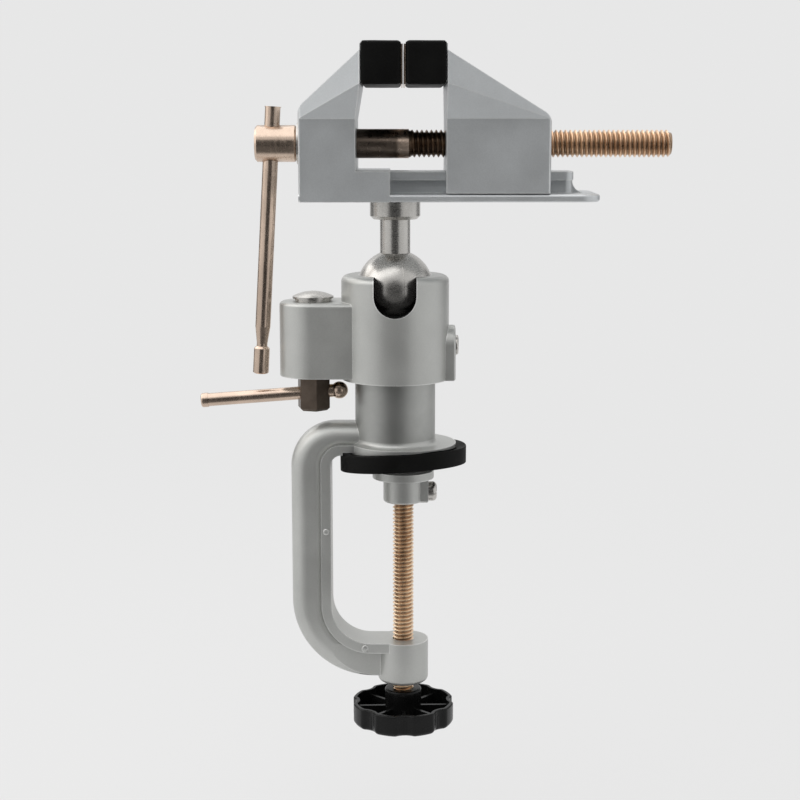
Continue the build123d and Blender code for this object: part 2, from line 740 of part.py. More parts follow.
# ---- Ball stud -------------------------------------------------------------------------------------
with BuildPart() as ball_stud:
    with Locations((post_offset, 0, ball_z)):
        Sphere(ball_diameter / 2)
    with BuildSketch(level(ball_z, post_offset)):
        Circle(neck_diameter / 2)
    extrude(amount=stud_length)
    with BuildSketch(level(head_z - collar_height, post_offset)):
        Circle(collar_diameter / 2)
    extrude(amount=collar_height)
    chamfer(ball_stud.faces().filter_by(Plane.XY).sort_by(Axis.Z)[0].edges().sort_by(SortBy.RADIUS)[-1],
            collar_bevel)
    with BuildSketch(level(head_z - stud_screw_length, post_offset)):
        Circle(stud_screw_thread / 2)
    extrude(amount=stud_screw_length, mode=Mode.SUBTRACT)

# ---- Jaws: each has a box, a flare that widens it, and a block inside the rubber cover ----------
def jaw_body(back, face, bottom, box_z, slope_z, shoulder):
    """Box and flare of a jaw: its side profile, plan and cross section meet in one solid."""
    with BuildPart() as body:
        with BuildSketch(upright(post_offset, head_z)):
            with BuildLine():
                FilletPolyline(
                    (face, bottom),
                    (back, bottom),
                    (back, slope_z),
                    (shoulder, jaw_shoulder),
                    radius=(0, head_round),
                )
                Polyline((shoulder, jaw_shoulder), (shoulder, jaw_start), (face, box_z), (face, bottom))
            make_face()
        extrude(amount=jaw_half_width, both=True)
        with BuildSketch(level(head_z, post_offset)):
            with BuildLine():
                FilletPolyline(
                    (shoulder, -jaw_half_width),
                    (back, -box_half_width),
                    (back, box_half_width),
                    (shoulder, jaw_half_width),
                    radius=box_round,
                )
                Line((shoulder, jaw_half_width), (shoulder, -jaw_half_width))
            make_face()
        extrude(amount=2 * jaw_top, mode=Mode.INTERSECT)
        with BuildSketch(facing_right(post_offset + min(back, shoulder), head_z)):
            Polygon(
                (-box_half_width, 0),
                (box_half_width, 0),
                (box_half_width, box_z),
                (jaw_half_width, jaw_start),
                (jaw_half_width, 2 * jaw_top),
                (-jaw_half_width, 2 * jaw_top),
                (-jaw_half_width, jaw_start),
                (-box_half_width, box_z),
                align=None,
            )
        extrude(amount=abs(back - shoulder), mode=Mode.INTERSECT)
    return body.part


def jaw_block(face, shoulder):
    """Block that the cover slips over, with the tapped holes for the plate's screws."""
    with BuildPart() as block:
        with BuildSketch(facing_right(post_offset + min(face, shoulder), head_z)):
            with Locations((0, jaw_middle)):
                Rectangle(2 * (jaw_half_width - jaw_block_inset), jaw_top - jaw_bottom)
        extrude(amount=abs(face - shoulder))
        with BuildSketch(facing_right(post_offset + face, head_z)):
            with Locations((-jaw_screw_spread, jaw_middle), (jaw_screw_spread, jaw_middle)):
                Circle(jaw_screw_thread / 2 + running_gap)
        extrude(amount=jaw_screw_length if face < shoulder else -jaw_screw_length, mode=Mode.SUBTRACT)
    return block.part


def rail_outline(half):
    """Plan of the rail, rounded at its free end."""
    with BuildSketch() as outline:
        with BuildLine():
            FilletPolyline(
                (fixed_box_right, -half),
                (rail_right, -half),
                (rail_right, half),
                (fixed_box_right, half),
                radius=rail_corner,
            )
            Line((fixed_box_right, half), (fixed_box_right, -half))
        make_face()
    return outline.sketch


with BuildPart() as fixed_jaw:
    # Base plate
    with BuildSketch(level(head_z, post_offset)):
        with BuildLine():
            FilletPolyline(
                (head_left, -box_half_width),
                (base_right, -box_half_width),
                (base_right, box_half_width),
                (head_left, box_half_width),
                radius=base_corner,
            )
            Line((head_left, box_half_width), (head_left, -box_half_width))
        make_face()
    extrude(amount=base_thickness)
    fillet(fixed_jaw.edges().filter_by(Axis.Z, reverse=True).filter_by_position(
        Axis.X, post_offset + head_left + 1, post_offset + base_right + 1), base_round)
    # Floor in front of the box
    with BuildSketch(upright(post_offset, head_z)):
        with BuildLine():
            Polyline(
                (fixed_box_right - 1, 0),
                (fixed_floor_right, 0),
                (fixed_floor_right, fixed_floor_top),
                (fixed_box_right - 1, fixed_floor_top),
                (fixed_box_right - 1, 0),
            )
        make_face()
    extrude(amount=box_half_width, both=True)
    # T rail with a concave foot at its free end
    with BuildSketch(level(head_z, post_offset)):
        add(rail_outline(rail_neck_half))
    extrude(amount=rail_height)
    with BuildSketch(level(head_z + rail_height - rail_head_thickness, post_offset)):
        add(rail_outline(rail_head_half))
    extrude(amount=rail_head_thickness)
    with BuildSketch(upright(post_offset, head_z + base_thickness)):
        with BuildLine():
            Polyline((rail_right, rail_foot), (rail_right, -1), (rail_right + rail_foot, -1),
                     (rail_right + rail_foot, 0))
            RadiusArc((rail_right + rail_foot, 0), (rail_right, rail_foot), rail_foot)
        make_face()
    extrude(amount=rail_neck_half - rail_corner, both=True)
    # Box, flare and block of the jaw
    add(jaw_body(head_left, fixed_box_right, 0, box_top, fixed_slope_foot, fixed_shoulder))
    add(jaw_block(fixed_face, fixed_shoulder))
    # Bore for the lead screw, hole for its pin and the stud screw's counterbore
    with BuildSketch(facing_right(post_offset + head_left, screw_z)):
        Circle(shank_diameter / 2 + running_gap)
    extrude(amount=fixed_box_right - head_left, mode=Mode.SUBTRACT)
    with BuildSketch(Plane(origin=(post_offset + pin_x, pin_side, head_z))):
        Circle(pin_diameter / 2)
    extrude(amount=screw_rise + pin_above_axis, mode=Mode.SUBTRACT)
    with BuildSketch(level(head_z, post_offset)):
        Circle(stud_screw_thread / 2 + 3 * running_gap)
    extrude(amount=rail_height, mode=Mode.SUBTRACT)
    with BuildSketch(level(head_z + rail_height, post_offset)):
        Circle(stud_screw_head / 2 + 3 * running_gap)
    extrude(amount=-stud_screw_head_height - 1, mode=Mode.SUBTRACT)

with BuildPart() as moving_jaw:
    add(jaw_body(moving_right, moving_shoulder, base_thickness + moving_gap, moving_box_top,
                 moving_slope_foot, moving_shoulder))
    add(jaw_block(moving_face, moving_shoulder))
    # T slot over the rail
    with BuildSketch(facing_right(post_offset + moving_shoulder)):
        with Locations((0, head_z + base_thickness + rail_neck_height / 2)):
            Rectangle(2 * (rail_neck_half + guide_gap), rail_neck_height)
        with Locations((0, head_z + rail_height - rail_head_thickness / 2)):
            Rectangle(2 * (rail_head_half + guide_gap), rail_head_thickness + 2 * guide_gap)
    extrude(amount=moving_box_length, mode=Mode.SUBTRACT)
    # Threaded bore for the lead screw
    with BuildSketch(facing_right(post_offset + moving_shoulder, screw_z)):
        Circle(lead_thread / 2 + running_gap)
    extrude(amount=moving_box_length, mode=Mode.SUBTRACT)


# ---- Rubber covers, steel plates and countersunk screws: fixed, then moving ------------------------
def cover_outline(inset=0.0):
    """Front view of a cover's outside, or of what stands inside it by an inset."""
    with BuildSketch() as outline:
        with Locations((0, (jaw_bottom - cover_bottom + jaw_top + cover_top) / 2)):
            Rectangle(
                2 * (jaw_half_width - jaw_block_inset + cover_side - inset),
                jaw_top - jaw_bottom + cover_top + cover_bottom - 2 * inset,
            )
    return outline.sketch


def jaw_cover(face, shoulder):
    """Rubber sleeve over a jaw's block, with a window in front for the plate."""
    front = face + cover_front if face > shoulder else face - cover_front
    with BuildPart() as sleeve:
        with BuildSketch(facing_right(post_offset + min(front, shoulder), head_z)):
            add(cover_outline())
        extrude(amount=abs(front - shoulder))
        fillet(sleeve.edges(), cover_round)
        with BuildSketch(facing_right(post_offset + min(face, shoulder), head_z)):
            with Locations((0, jaw_middle)):
                Rectangle(2 * (jaw_half_width - jaw_block_inset), jaw_top - jaw_bottom)
        extrude(amount=abs(face - shoulder), mode=Mode.SUBTRACT)
        with BuildSketch(facing_right(post_offset + min(front, shoulder), head_z)):
            with Locations((0, jaw_middle)):
                Rectangle(2 * window_half, jaw_top - jaw_bottom - 2 * window_margin)
        extrude(amount=abs(front - shoulder), mode=Mode.SUBTRACT)
    return sleeve.part


def plate_screws(plate_face, side, gap):
    """The two countersunk screws of a plate, or their holes when a gap is given."""
    depth = (jaw_screw_head - jaw_screw_thread) / 2
    start = Vector(post_offset + plate_face, jaw_screw_spread, head_z + jaw_middle)
    with BuildPart() as screws:
        with BuildSketch(Plane(origin=start, x_dir=(1, 0, 0), z_dir=(0, -1, 0))):
            with BuildLine():
                Polyline(
                    (0, 0),
                    (0, jaw_screw_head / 2 + gap),
                    (-side * (serration_depth + gap), jaw_screw_head / 2 + gap),
                    (-side * (serration_depth + depth + gap), jaw_screw_thread / 2 + gap),
                    (-side * jaw_screw_length, jaw_screw_thread / 2 + gap),
                    (-side * jaw_screw_length, 0),
                    (0, 0),
                )
            make_face()
        revolve(axis=Axis(start, (1, 0, 0)))
        mirror(about=Plane.XZ)
    return screws.part


def jaw_plate(face, plate_face):
    """Stepped steel plate: its inner step fills the cover's window, its flange holds the cover."""
    side = 1 if plate_face > face else -1
    with BuildPart() as plate:
        with BuildSketch(facing_right(post_offset + face, head_z)):
            with Locations((0, jaw_middle)):
                Rectangle(
                    2 * (window_half - running_gap),
                    jaw_top - jaw_bottom - 2 * window_margin - 2 * running_gap,
                )
        extrude(amount=side * cover_front)
        with BuildSketch(facing_right(post_offset + face + side * cover_front, head_z - plate_low)):
            add(cover_outline(plate_side))
        extrude(amount=side * plate_flange)
        # Upright V grooves across the gripping face
        with BuildSketch(level(head_z, post_offset + plate_face)):
            with GridLocations(1, serration_pitch, 1, serration_count):
                Polygon(
                    (0, -serration_depth),
                    (0, serration_depth),
                    (-side * serration_depth, 0),
                    align=None,
                )
        extrude(amount=2 * jaw_top, mode=Mode.SUBTRACT)
        add(plate_screws(plate_face, side, running_gap), mode=Mode.SUBTRACT)
    return plate.part


def jaw_screws(plate_face, side):
    """The plate's screws with a cross recess in each head."""
    with BuildPart() as screws:
        add(plate_screws(plate_face, side, 0))
        with BuildSketch(facing_right(post_offset + plate_face, head_z)):
            with Locations((-jaw_screw_spread, jaw_middle), (jaw_screw_spread, jaw_middle)):
                Rectangle(jaw_screw_recess, 0.8)
                Rectangle(0.8, jaw_screw_recess)
        extrude(amount=-side * 1.2, mode=Mode.SUBTRACT)
    return screws.part


with BuildPart() as jaw_cover_fixed:
    add(jaw_cover(fixed_face, fixed_shoulder))

with BuildPart() as jaw_cover_moving:
    add(jaw_cover(moving_face, moving_shoulder))

with BuildPart() as jaw_plate_fixed:
    add(jaw_plate(fixed_face, fixed_plate_face))

with BuildPart() as jaw_plate_moving:
    add(jaw_plate(moving_face, moving_plate_face))

with BuildPart() as jaw_screws_fixed:
    add(jaw_screws(fixed_plate_face, 1))

with BuildPart() as jaw_screws_moving:
    add(jaw_screws(moving_plate_face, -1))

# ---- Stud screw: holds the vise head on the ball stud ---------------------------------------------
with BuildPart() as stud_screw:
    seat_z = head_z + rail_height - stud_screw_head_height - 1
    with BuildSketch(level(head_z - stud_screw_length + 1, post_offset)):
        Circle(stud_screw_thread / 2 - running_gap)
    extrude(amount=seat_z - head_z + stud_screw_length - 1)
    with BuildSketch(level(seat_z, post_offset)):
        Circle(stud_screw_head / 2)
    extrude(amount=stud_screw_head_height)
    chamfer(stud_screw.edges().group_by(Axis.Z)[-1], 0.5)
    with BuildSketch(level(seat_z + stud_screw_head_height, post_offset)):
        RegularPolygon(stud_screw_socket / 2, 6, major_radius=False)
    extrude(amount=-stud_screw_head_height / 2, mode=Mode.SUBTRACT)

# ---- Lead screw, its washer and the pin that keeps it in the fixed jaw -----------------------------
with BuildPart() as lead_screw:
    screw_line = Axis((post_offset, 0, screw_z), (1, 0, 0))
    with BuildSketch(upright(post_offset, screw_z)):
        with BuildLine():
            Polyline(
                (washer_x - screw_head_length, 0),
                (washer_x - screw_head_length, screw_head_diameter / 2 - small_round),
                (washer_x - screw_head_length + small_round, screw_head_diameter / 2),
                (washer_x - small_round, screw_head_diameter / 2),
                (washer_x, screw_head_diameter / 2 - small_round),
                (washer_x, shank_diameter / 2),
                (pin_x - pin_diameter / 2 - running_gap, shank_diameter / 2),
                (pin_x - pin_diameter / 2 - running_gap, pin_groove_diameter / 2),
                (pin_x + pin_diameter / 2 + running_gap, pin_groove_diameter / 2),
                (pin_x + pin_diameter / 2 + running_gap, shank_diameter / 2),
                (shank_end, shank_diameter / 2),
                (shank_end + 0.5, lead_thread / 2 - lead_thread_depth),
                *thread_points(shank_end + 1, lead_screw_end - 1, lead_pitch,
                               lead_thread / 2, lead_thread_depth),
                (lead_screw_end, lead_thread / 2 - lead_thread_depth - 0.3),
                (lead_screw_end, 0),
                (washer_x - screw_head_length, 0),
            )
        make_face()
    revolve(axis=screw_line)
    with BuildSketch(handle_plane):
        Circle(handle_diameter / 2 + running_gap)
    extrude(amount=screw_head_diameter, both=True, mode=Mode.SUBTRACT)

with BuildPart() as thrust_washer:
    with BuildSketch(facing_right(post_offset + washer_x, screw_z)):
        Circle(washer_diameter / 2)
        Circle(shank_diameter / 2 + running_gap, mode=Mode.SUBTRACT)
    extrude(amount=washer_thickness)

with BuildPart() as screw_retaining_pin:
    with BuildSketch(Plane(origin=(post_offset + pin_x, pin_side, head_z + 0.5))):
        Circle(pin_diameter / 2 - running_gap)
    extrude(amount=screw_rise + pin_above_axis - 1)

# ---- Screw handle: the bar that slides through the screw's head, with a cap on its neck --------------
with BuildPart() as screw_handle:
    with BuildSketch(handle_plane):
        Circle(handle_diameter / 2)
    extrude(amount=handle_above)
    with BuildSketch(handle_plane):
        Circle(handle_diameter / 2)
    extrude(amount=-handle_neck_start)
    with BuildSketch(handle_plane.offset(handle_above - handle_rim)):
        Circle(handle_diameter / 2 + handle_rim)
    extrude(amount=handle_rim)
    with BuildSketch(handle_plane.offset(-handle_neck_start)):
        Circle(handle_diameter / 2)
    with BuildSketch(handle_plane.offset(-handle_neck_start - handle_taper)):
        Circle(handle_neck / 2)
    loft()
    with BuildSketch(handle_plane.offset(-handle_neck_start - handle_taper)):
        Circle(handle_neck / 2)
    extrude(amount=-handle_neck_length)

with BuildPart() as handle_cap:
    with BuildSketch(handle_plane.offset(-handle_neck_start - handle_taper - handle_collar)):
        Circle(handle_cap_diameter / 2)
    extrude(amount=-handle_cap_length)
    chamfer(handle_cap.edges().sort_by(Axis.Z)[-1], handle_cap_bevel)
    chamfer(handle_cap.edges().sort_by(Axis.Z)[0], handle_cap_bevel / 2)
    with BuildSketch(handle_plane.offset(-handle_neck_start - handle_taper)):
        Circle(handle_neck / 2)
    extrude(amount=-handle_neck_length, mode=Mode.SUBTRACT)

os.makedirs("parts", exist_ok=True)
pieces = {
    "clamp_frame": clamp_frame,
    "bench_pad": bench_pad,
    "clamp_screw": clamp_screw,
    "swivel_foot": swivel_foot,
    "foot_screw": foot_screw,
    "knob": knob,
    "knob_insert": knob_insert,
    "socket_housing": socket_housing,
    "pan_screw": pan_screw,
    "ball_seat": ball_seat,
    "clamp_wedge": clamp_wedge,
    "clamp_cap_nut": clamp_cap_nut,
    "clamp_spindle": clamp_spindle,
    "lever_bar": lever_bar,
    "lever_end_ball": lever_end_ball,
    "ball_stud": ball_stud,
    "stud_screw": stud_screw,
    "fixed_jaw": fixed_jaw,
    "moving_jaw": moving_jaw,
    "jaw_cover_fixed": jaw_cover_fixed,
    "jaw_cover_moving": jaw_cover_moving,
    "jaw_plate_fixed": jaw_plate_fixed,
    "jaw_plate_moving": jaw_plate_moving,
    "jaw_screws_fixed": jaw_screws_fixed,
    "jaw_screws_moving": jaw_screws_moving,
    "lead_screw": lead_screw,
    "thrust_washer": thrust_washer,
    "screw_retaining_pin": screw_retaining_pin,
    "screw_handle": screw_handle,
    "handle_cap": handle_cap,
}
for name, piece in pieces.items():
    piece.part.label = name
    export_step(piece.part, f"parts/{name}.step")
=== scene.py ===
import json
from math import cos, hypot, pi, radians, sin, sqrt

import bmesh
import bpy
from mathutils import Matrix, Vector, noise


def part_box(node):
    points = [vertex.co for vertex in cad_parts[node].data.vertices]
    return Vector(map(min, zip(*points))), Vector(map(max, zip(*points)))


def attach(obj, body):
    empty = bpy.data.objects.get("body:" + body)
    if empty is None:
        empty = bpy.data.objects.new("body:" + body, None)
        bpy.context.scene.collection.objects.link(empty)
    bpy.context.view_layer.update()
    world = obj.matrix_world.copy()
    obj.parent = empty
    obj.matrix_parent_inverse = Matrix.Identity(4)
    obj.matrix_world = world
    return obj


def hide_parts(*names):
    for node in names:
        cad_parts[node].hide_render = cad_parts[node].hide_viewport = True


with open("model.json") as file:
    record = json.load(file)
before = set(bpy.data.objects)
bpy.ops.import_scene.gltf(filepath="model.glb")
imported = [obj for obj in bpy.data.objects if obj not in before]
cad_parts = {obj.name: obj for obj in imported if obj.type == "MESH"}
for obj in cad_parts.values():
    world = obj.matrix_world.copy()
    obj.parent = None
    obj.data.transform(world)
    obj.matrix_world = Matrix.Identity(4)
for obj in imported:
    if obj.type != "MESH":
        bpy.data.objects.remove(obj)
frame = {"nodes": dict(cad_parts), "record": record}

# Looks of the ball vise, in metres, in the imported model's frame: +Z up, +X along the
# jaws, origin under the bench pad on the axis of the clamp screw.

bl_info = {
    "name": "Ball vise",
    "version": (1, 0, 0),
    "blender": (4, 5, 0),
    "location": "View3D > Sidebar > Ball vise",
    "description": "Dresses the packed ball vise: castings, screws, rubber and finishes",
    "category": "Object",
}

MM = 0.001
SAME_POINT = 0.002 * MM     # points nearer than this are merged
BRASS = (0.60, 0.44, 0.20)
# black of the bearing plastic, also used as painted shade inside the socket
BEARING_BLACK_AND_SOCKET_SHADE = (0.006, 0.006, 0.006)


def middle_of(node):
    low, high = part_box(node)
    return (low + high) / 2


def within_one(value):
    """The value, but no less than nothing and no more than one."""
    return min(1.0, max(0.0, value))


# ---- Sizes and colours a user would change ---------------------------------------


class BallViseSizes(bpy.types.PropertyGroup):
    casting_edge: bpy.props.FloatProperty(
        name="Casting edge", description="Rounding of the castings' edges",
        default=0.6 * MM, min=0.0, unit="LENGTH")
    lead_pitch: bpy.props.FloatProperty(
        name="Lead screw pitch", description="Pitch of the jaws' lead screw",
        default=1.75 * MM, min=0.5 * MM, unit="LENGTH")
    lead_depth: bpy.props.FloatProperty(
        name="Lead screw thread depth", description="Depth of the lead screw's thread",
        default=0.95 * MM, min=0.1 * MM, unit="LENGTH")
    clamp_pitch: bpy.props.FloatProperty(
        name="Clamp screw pitch", description="Pitch of the clamp screw",
        default=1.5 * MM, min=0.5 * MM, unit="LENGTH")
    clamp_depth: bpy.props.FloatProperty(
        name="Clamp screw thread depth", description="Depth of the clamp screw's thread",
        default=0.8 * MM, min=0.1 * MM, unit="LENGTH")
    lead_radius: bpy.props.FloatProperty(
        name="Lead screw radius", description="Radius over the lead screw's thread",
        default=5.0 * MM, min=1.0 * MM, unit="LENGTH")
    shank_end: bpy.props.FloatProperty(
        name="Shank end", description="Where the lead screw's thread begins, along X",
        default=2.0 * MM, unit="LENGTH")
    clamp_radius: bpy.props.FloatProperty(
        name="Clamp screw radius", description="Radius over the clamp screw's thread",
        default=4.0 * MM, min=1.0 * MM, unit="LENGTH")
    pad_lift: bpy.props.FloatProperty(
        name="Pad lift", description="How far the pad's rim rides up on the right",
        default=1.6 * MM, unit="LENGTH")
    pad_front_lift: bpy.props.FloatProperty(
        name="Pad front lift", description="How far the pad's rim rides up in front",
        default=2.4 * MM, unit="LENGTH")
    pad_cup_radius: bpy.props.FloatProperty(
        name="Pad cup radius", description="Inside of the pad's cup",
        default=19.85 * MM, unit="LENGTH")
    pad_floor: bpy.props.FloatProperty(
        name="Pad floor", description="Thickness of the pad under the disc",
        default=2.6 * MM, unit="LENGTH")
    pad_recess_radius: bpy.props.FloatProperty(
        name="Pad recess", description="Radius of the recess over the foot",
        default=12.6 * MM, unit="LENGTH")
    neck_radius: bpy.props.FloatProperty(
        name="Neck radius", description="Ball stud's neck",
        default=5.6 * MM, unit="LENGTH")
    collar_radius: bpy.props.FloatProperty(
        name="Collar radius", description="Ball stud's collar",
        default=9.3 * MM, unit="LENGTH")
    collar_bottom: bpy.props.FloatProperty(
        name="Collar height", description="Underside of the ball stud's collar",
        default=93.0 * MM, unit="LENGTH")
    parting_turn: bpy.props.FloatProperty(
        name="Parting line turn", description="Turn of the ball's parting line",
        default=radians(14.0), subtype="ANGLE", unit="ROTATION")
    cover_bulge: bpy.props.FloatProperty(
        name="Cover bulge", description="How much fuller the jaw covers are in the middle",
        default=0.25 * MM, unit="LENGTH")


class BallViseFinishes(bpy.types.PropertyGroup):
    casting: bpy.props.FloatVectorProperty(
        name="Casting", description="Silver finish of the jaws", subtype="COLOR",
        size=3, min=0.0, max=1.0, default=(0.60, 0.62, 0.63))
    frame_casting: bpy.props.FloatVectorProperty(
        name="Frame casting", description="Silver finish of the clamp, foot and housing",
        subtype="COLOR", size=3, min=0.0, max=1.0, default=(0.51, 0.515, 0.497))
    turned: bpy.props.FloatVectorProperty(
        name="Turned post", description="Bare turned face of the post",
        subtype="COLOR", size=3, min=0.0, max=1.0, default=(0.44, 0.445, 0.43))
    polished: bpy.props.FloatVectorProperty(
        name="Polished steel", description="Ball stud and cap nut", subtype="COLOR",
        size=3, min=0.0, max=1.0, default=(0.55, 0.535, 0.51))
    plating: bpy.props.FloatVectorProperty(
        name="Warm nickel plating", description="Bars, screw head, hub and jaw plates",
        subtype="COLOR", size=3, min=0.0, max=1.0, default=(0.66, 0.52, 0.42))
    thread: bpy.props.FloatVectorProperty(
        name="Thread", description="Coppery screw threads", subtype="COLOR",
        size=3, min=0.0, max=1.0, default=(0.80, 0.59, 0.42))
    plain: bpy.props.FloatVectorProperty(
        name="Zinc plating", description="Small screws and washer", subtype="COLOR",
        size=3, min=0.0, max=1.0, default=(0.62, 0.60, 0.57))
    rubber: bpy.props.FloatVectorProperty(
        name="Rubber", description="Bench pad and jaw covers", subtype="COLOR",
        size=3, min=0.0, max=1.0, default=(0.004, 0.004, 0.0038))
    plastic: bpy.props.FloatVectorProperty(
        name="Black plastic", description="Knob", subtype="COLOR",
        size=3, min=0.0, max=1.0, default=(0.0045, 0.0045, 0.0045))


class BallViseStage(bpy.types.PropertyGroup):
    background: bpy.props.FloatProperty(
        name="Background", description="Grey of the floor and background",
        default=0.80, min=0.0, max=1.0)
    floor_drop: bpy.props.FloatProperty(
        name="Floor drop", description="Floor below the knob, clear of its lowest place",
        default=53.1 * MM, min=0.0, unit="LENGTH")
    camera_place: bpy.props.FloatVectorProperty(
        name="Camera place", description="Where the camera stands",
        size=3, subtype="TRANSLATION", unit="LENGTH", default=(-0.0012, -0.598, 0.1275))
    camera_dip: bpy.props.FloatProperty(
        name="Camera dip", description="How far the camera looks down",
        subtype="ANGLE", unit="ROTATION", default=radians(9.7))
    lens: bpy.props.FloatProperty(
        name="Lens", description="Focal length in millimetres", default=72.7)


def sizes():
    return bpy.context.scene.ball_vise_sizes


def chosen_colour(name):
    return tuple(getattr(bpy.context.scene.ball_vise_finishes, name))


# ---- Modelling helpers --------------------------------------------------------------


def deselect():
    if bpy.context.object and bpy.context.object.mode != "OBJECT":
        bpy.ops.object.mode_set(mode="OBJECT")
    bpy.ops.object.select_all(action="DESELECT")


def make_active(obj):
    deselect()
    obj.select_set(True)
    bpy.context.view_layer.objects.active = obj


def newest(name):
    """The primitive just added, under its piece's name."""
    obj = bpy.context.object
    obj.name = name
    obj.data.name = name
    return obj


def edit(obj, kind="VERT"):
    """Edit mode on one object, with nothing selected."""
    make_active(obj)
    bpy.ops.object.mode_set(mode="EDIT")
    bpy.ops.mesh.select_mode(type=kind)
    bpy.ops.mesh.select_all(action="DESELECT")


def edit_all(obj):
    """Edit mode on one object, with everything selected."""
    edit(obj)
    bpy.ops.mesh.select_all(action="SELECT")


def pick(obj, kind, wanted):
    """Selects the vertices or faces that a test wants, in edit mode."""
    mesh = bmesh.from_edit_mesh(obj.data)
    parts = {"VERT": mesh.verts, "FACE": mesh.faces}[kind]
    for part in parts:
        part.select_set(bool(wanted(part)))
    mesh.select_flush_mode()
    bmesh.update_edit_mesh(obj.data)


def leave_edit():
    bpy.ops.object.mode_set(mode="OBJECT")


def apply_modifiers(obj):
    make_active(obj)
    for modifier in list(obj.modifiers):
        bpy.ops.object.modifier_apply(modifier=modifier.name)


def settle(obj):
    """The object's place, turn and scale go into its mesh."""
    make_active(obj)
    bpy.ops.object.transform_apply(location=True, rotation=True, scale=True)


def outward(obj):
    """Merges a piece's points and turns all its faces outward."""
    edit_all(obj)
    bpy.ops.mesh.remove_doubles(threshold=SAME_POINT)
    bpy.ops.mesh.normals_make_consistent(inside=False)
    leave_edit()


def smooth(obj, degrees=30.0):
    make_active(obj)
    bpy.ops.object.shade_smooth_by_angle(angle=radians(degrees))


def round_edges(obj, width, segments=3, degrees=28.0):
    """Rounds the edges that turn by more than an angle."""
    bevel = obj.modifiers.new("Edges", "BEVEL")
    bevel.width = width
    bevel.segments = segments
    bevel.limit_method = "ANGLE"
    bevel.angle_limit = radians(degrees)
    bevel.use_clamp_overlap = True
    bevel.miter_outer = "MITER_ARC"
    apply_modifiers(obj)


def weigh_normals(obj):
    """Large flat faces keep their shade up to the rounded edges."""
    weighted = obj.modifiers.new("Normals", "WEIGHTED_NORMAL")
    weighted.keep_sharp = True
    weighted.weight = 80
    apply_modifiers(obj)


def second_finish(obj, material, wanted):
    """Another finish on the faces that a test wants."""
    obj.data.materials.append(material)
    for face in obj.data.polygons:
        if wanted(face):
            face.material_index = len(obj.data.materials) - 1


def copy_of(node, name):
    """A solid's mesh as a new object, merged and with its flat faces whole."""
    obj = bpy.data.objects.new(name, frame["nodes"][node].data.copy())
    bpy.context.scene.collection.objects.link(obj)
    obj.data.materials.clear()
    make_active(obj)
    bpy.ops.mesh.customdata_custom_splitnormals_clear()
    edit_all(obj)
    bpy.ops.mesh.remove_doubles(threshold=SAME_POINT)
    bpy.ops.mesh.dissolve_limited(angle_limit=radians(0.5))
    leave_edit()
    return obj


def joined(first, *others):
    """Several meshes as one object, under the first one's name."""
    deselect()
    for obj in others:
        obj.select_set(True)
    first.select_set(True)
    bpy.context.view_layer.objects.active = first
    bpy.ops.object.join()
    return first


def dress(obj, body, slot, material, *nodes):
    """Body and finish of a new piece, and the nodes that it stands for, which are hidden.
    The slot argument is not used.
    """
    obj.data.materials.clear()
    obj.data.materials.append(material)
    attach(obj, body)
    if nodes:
        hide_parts(*nodes)


def trim(obj, place, normal):
    """Cuts an object at a plane and closes it. The side the normal points to goes."""
    edit_all(obj)
    bpy.ops.mesh.bisect(
        plane_co=place, plane_no=normal, use_fill=True, clear_outer=True, threshold=1e-7)
    leave_edit()


def threaded_rod(name, crest, depth, pitch, start, end):
    """A rod with a right-hand thread along +Z from start to end, closed at both ends.

    One turn's profile is a row of points, each at a share of the pitch and of the depth.
    """
    shares = (0.0, 0.07, 0.43, 0.57, 0.93, 1.0)
    heights = (0.0, 0.0, 1.0, 1.0, 0.0, 0.0)
    steps, spare_turns = 36, 3
    deselect()
    bpy.ops.mesh.primitive_grid_add(
        x_subdivisions=len(shares) - 1, y_subdivisions=1, size=pitch)
    rod = newest(name)
    edit(rod)
    pick(rod, "VERT", lambda vert: vert.co.y > 0)
    bpy.ops.mesh.delete(type="VERT")
    leave_edit()
    profile = sorted(rod.data.vertices, key=lambda vert: vert.co.x)
    for vert, share, height in zip(profile, shares, heights):
        vert.co = (crest - depth * (1.0 - height), 0.0, share * pitch)
    screw = rod.modifiers.new("Thread", "SCREW")
    screw.axis = "Z"
    screw.angle = 2 * pi
    screw.screw_offset = pitch
    screw.steps = steps
    screw.render_steps = steps
    screw.iterations = int((end - start) / pitch) + spare_turns
    apply_modifiers(rod)
    rod.location = (0.0, 0.0, start - pitch)
    settle(rod)
    outward(rod)
    trim(rod, (0.0, 0.0, end), (0.0, 0.0, 1.0))
    trim(rod, (0.0, 0.0, start), (0.0, 0.0, -1.0))
    outward(rod)
    return rod


def spread(vert, factor):
    """Moves a point away from the Z axis, or towards it with a factor under one."""
    vert.co.x *= factor
    vert.co.y *= factor


def taper(rod, limit_at):
    """Draws a rod's points in to the radius that a rule allows at their height."""
    for vert in rod.data.vertices:
        radius = hypot(vert.co.x, vert.co.y)
        limit = limit_at(vert.co.z)
        if radius > limit:
            spread(vert, limit / radius)


class Pieces:
    """The finishes, once they are made."""

    finish = {}


# ---- Finishes -------------------------------------------------------------------------


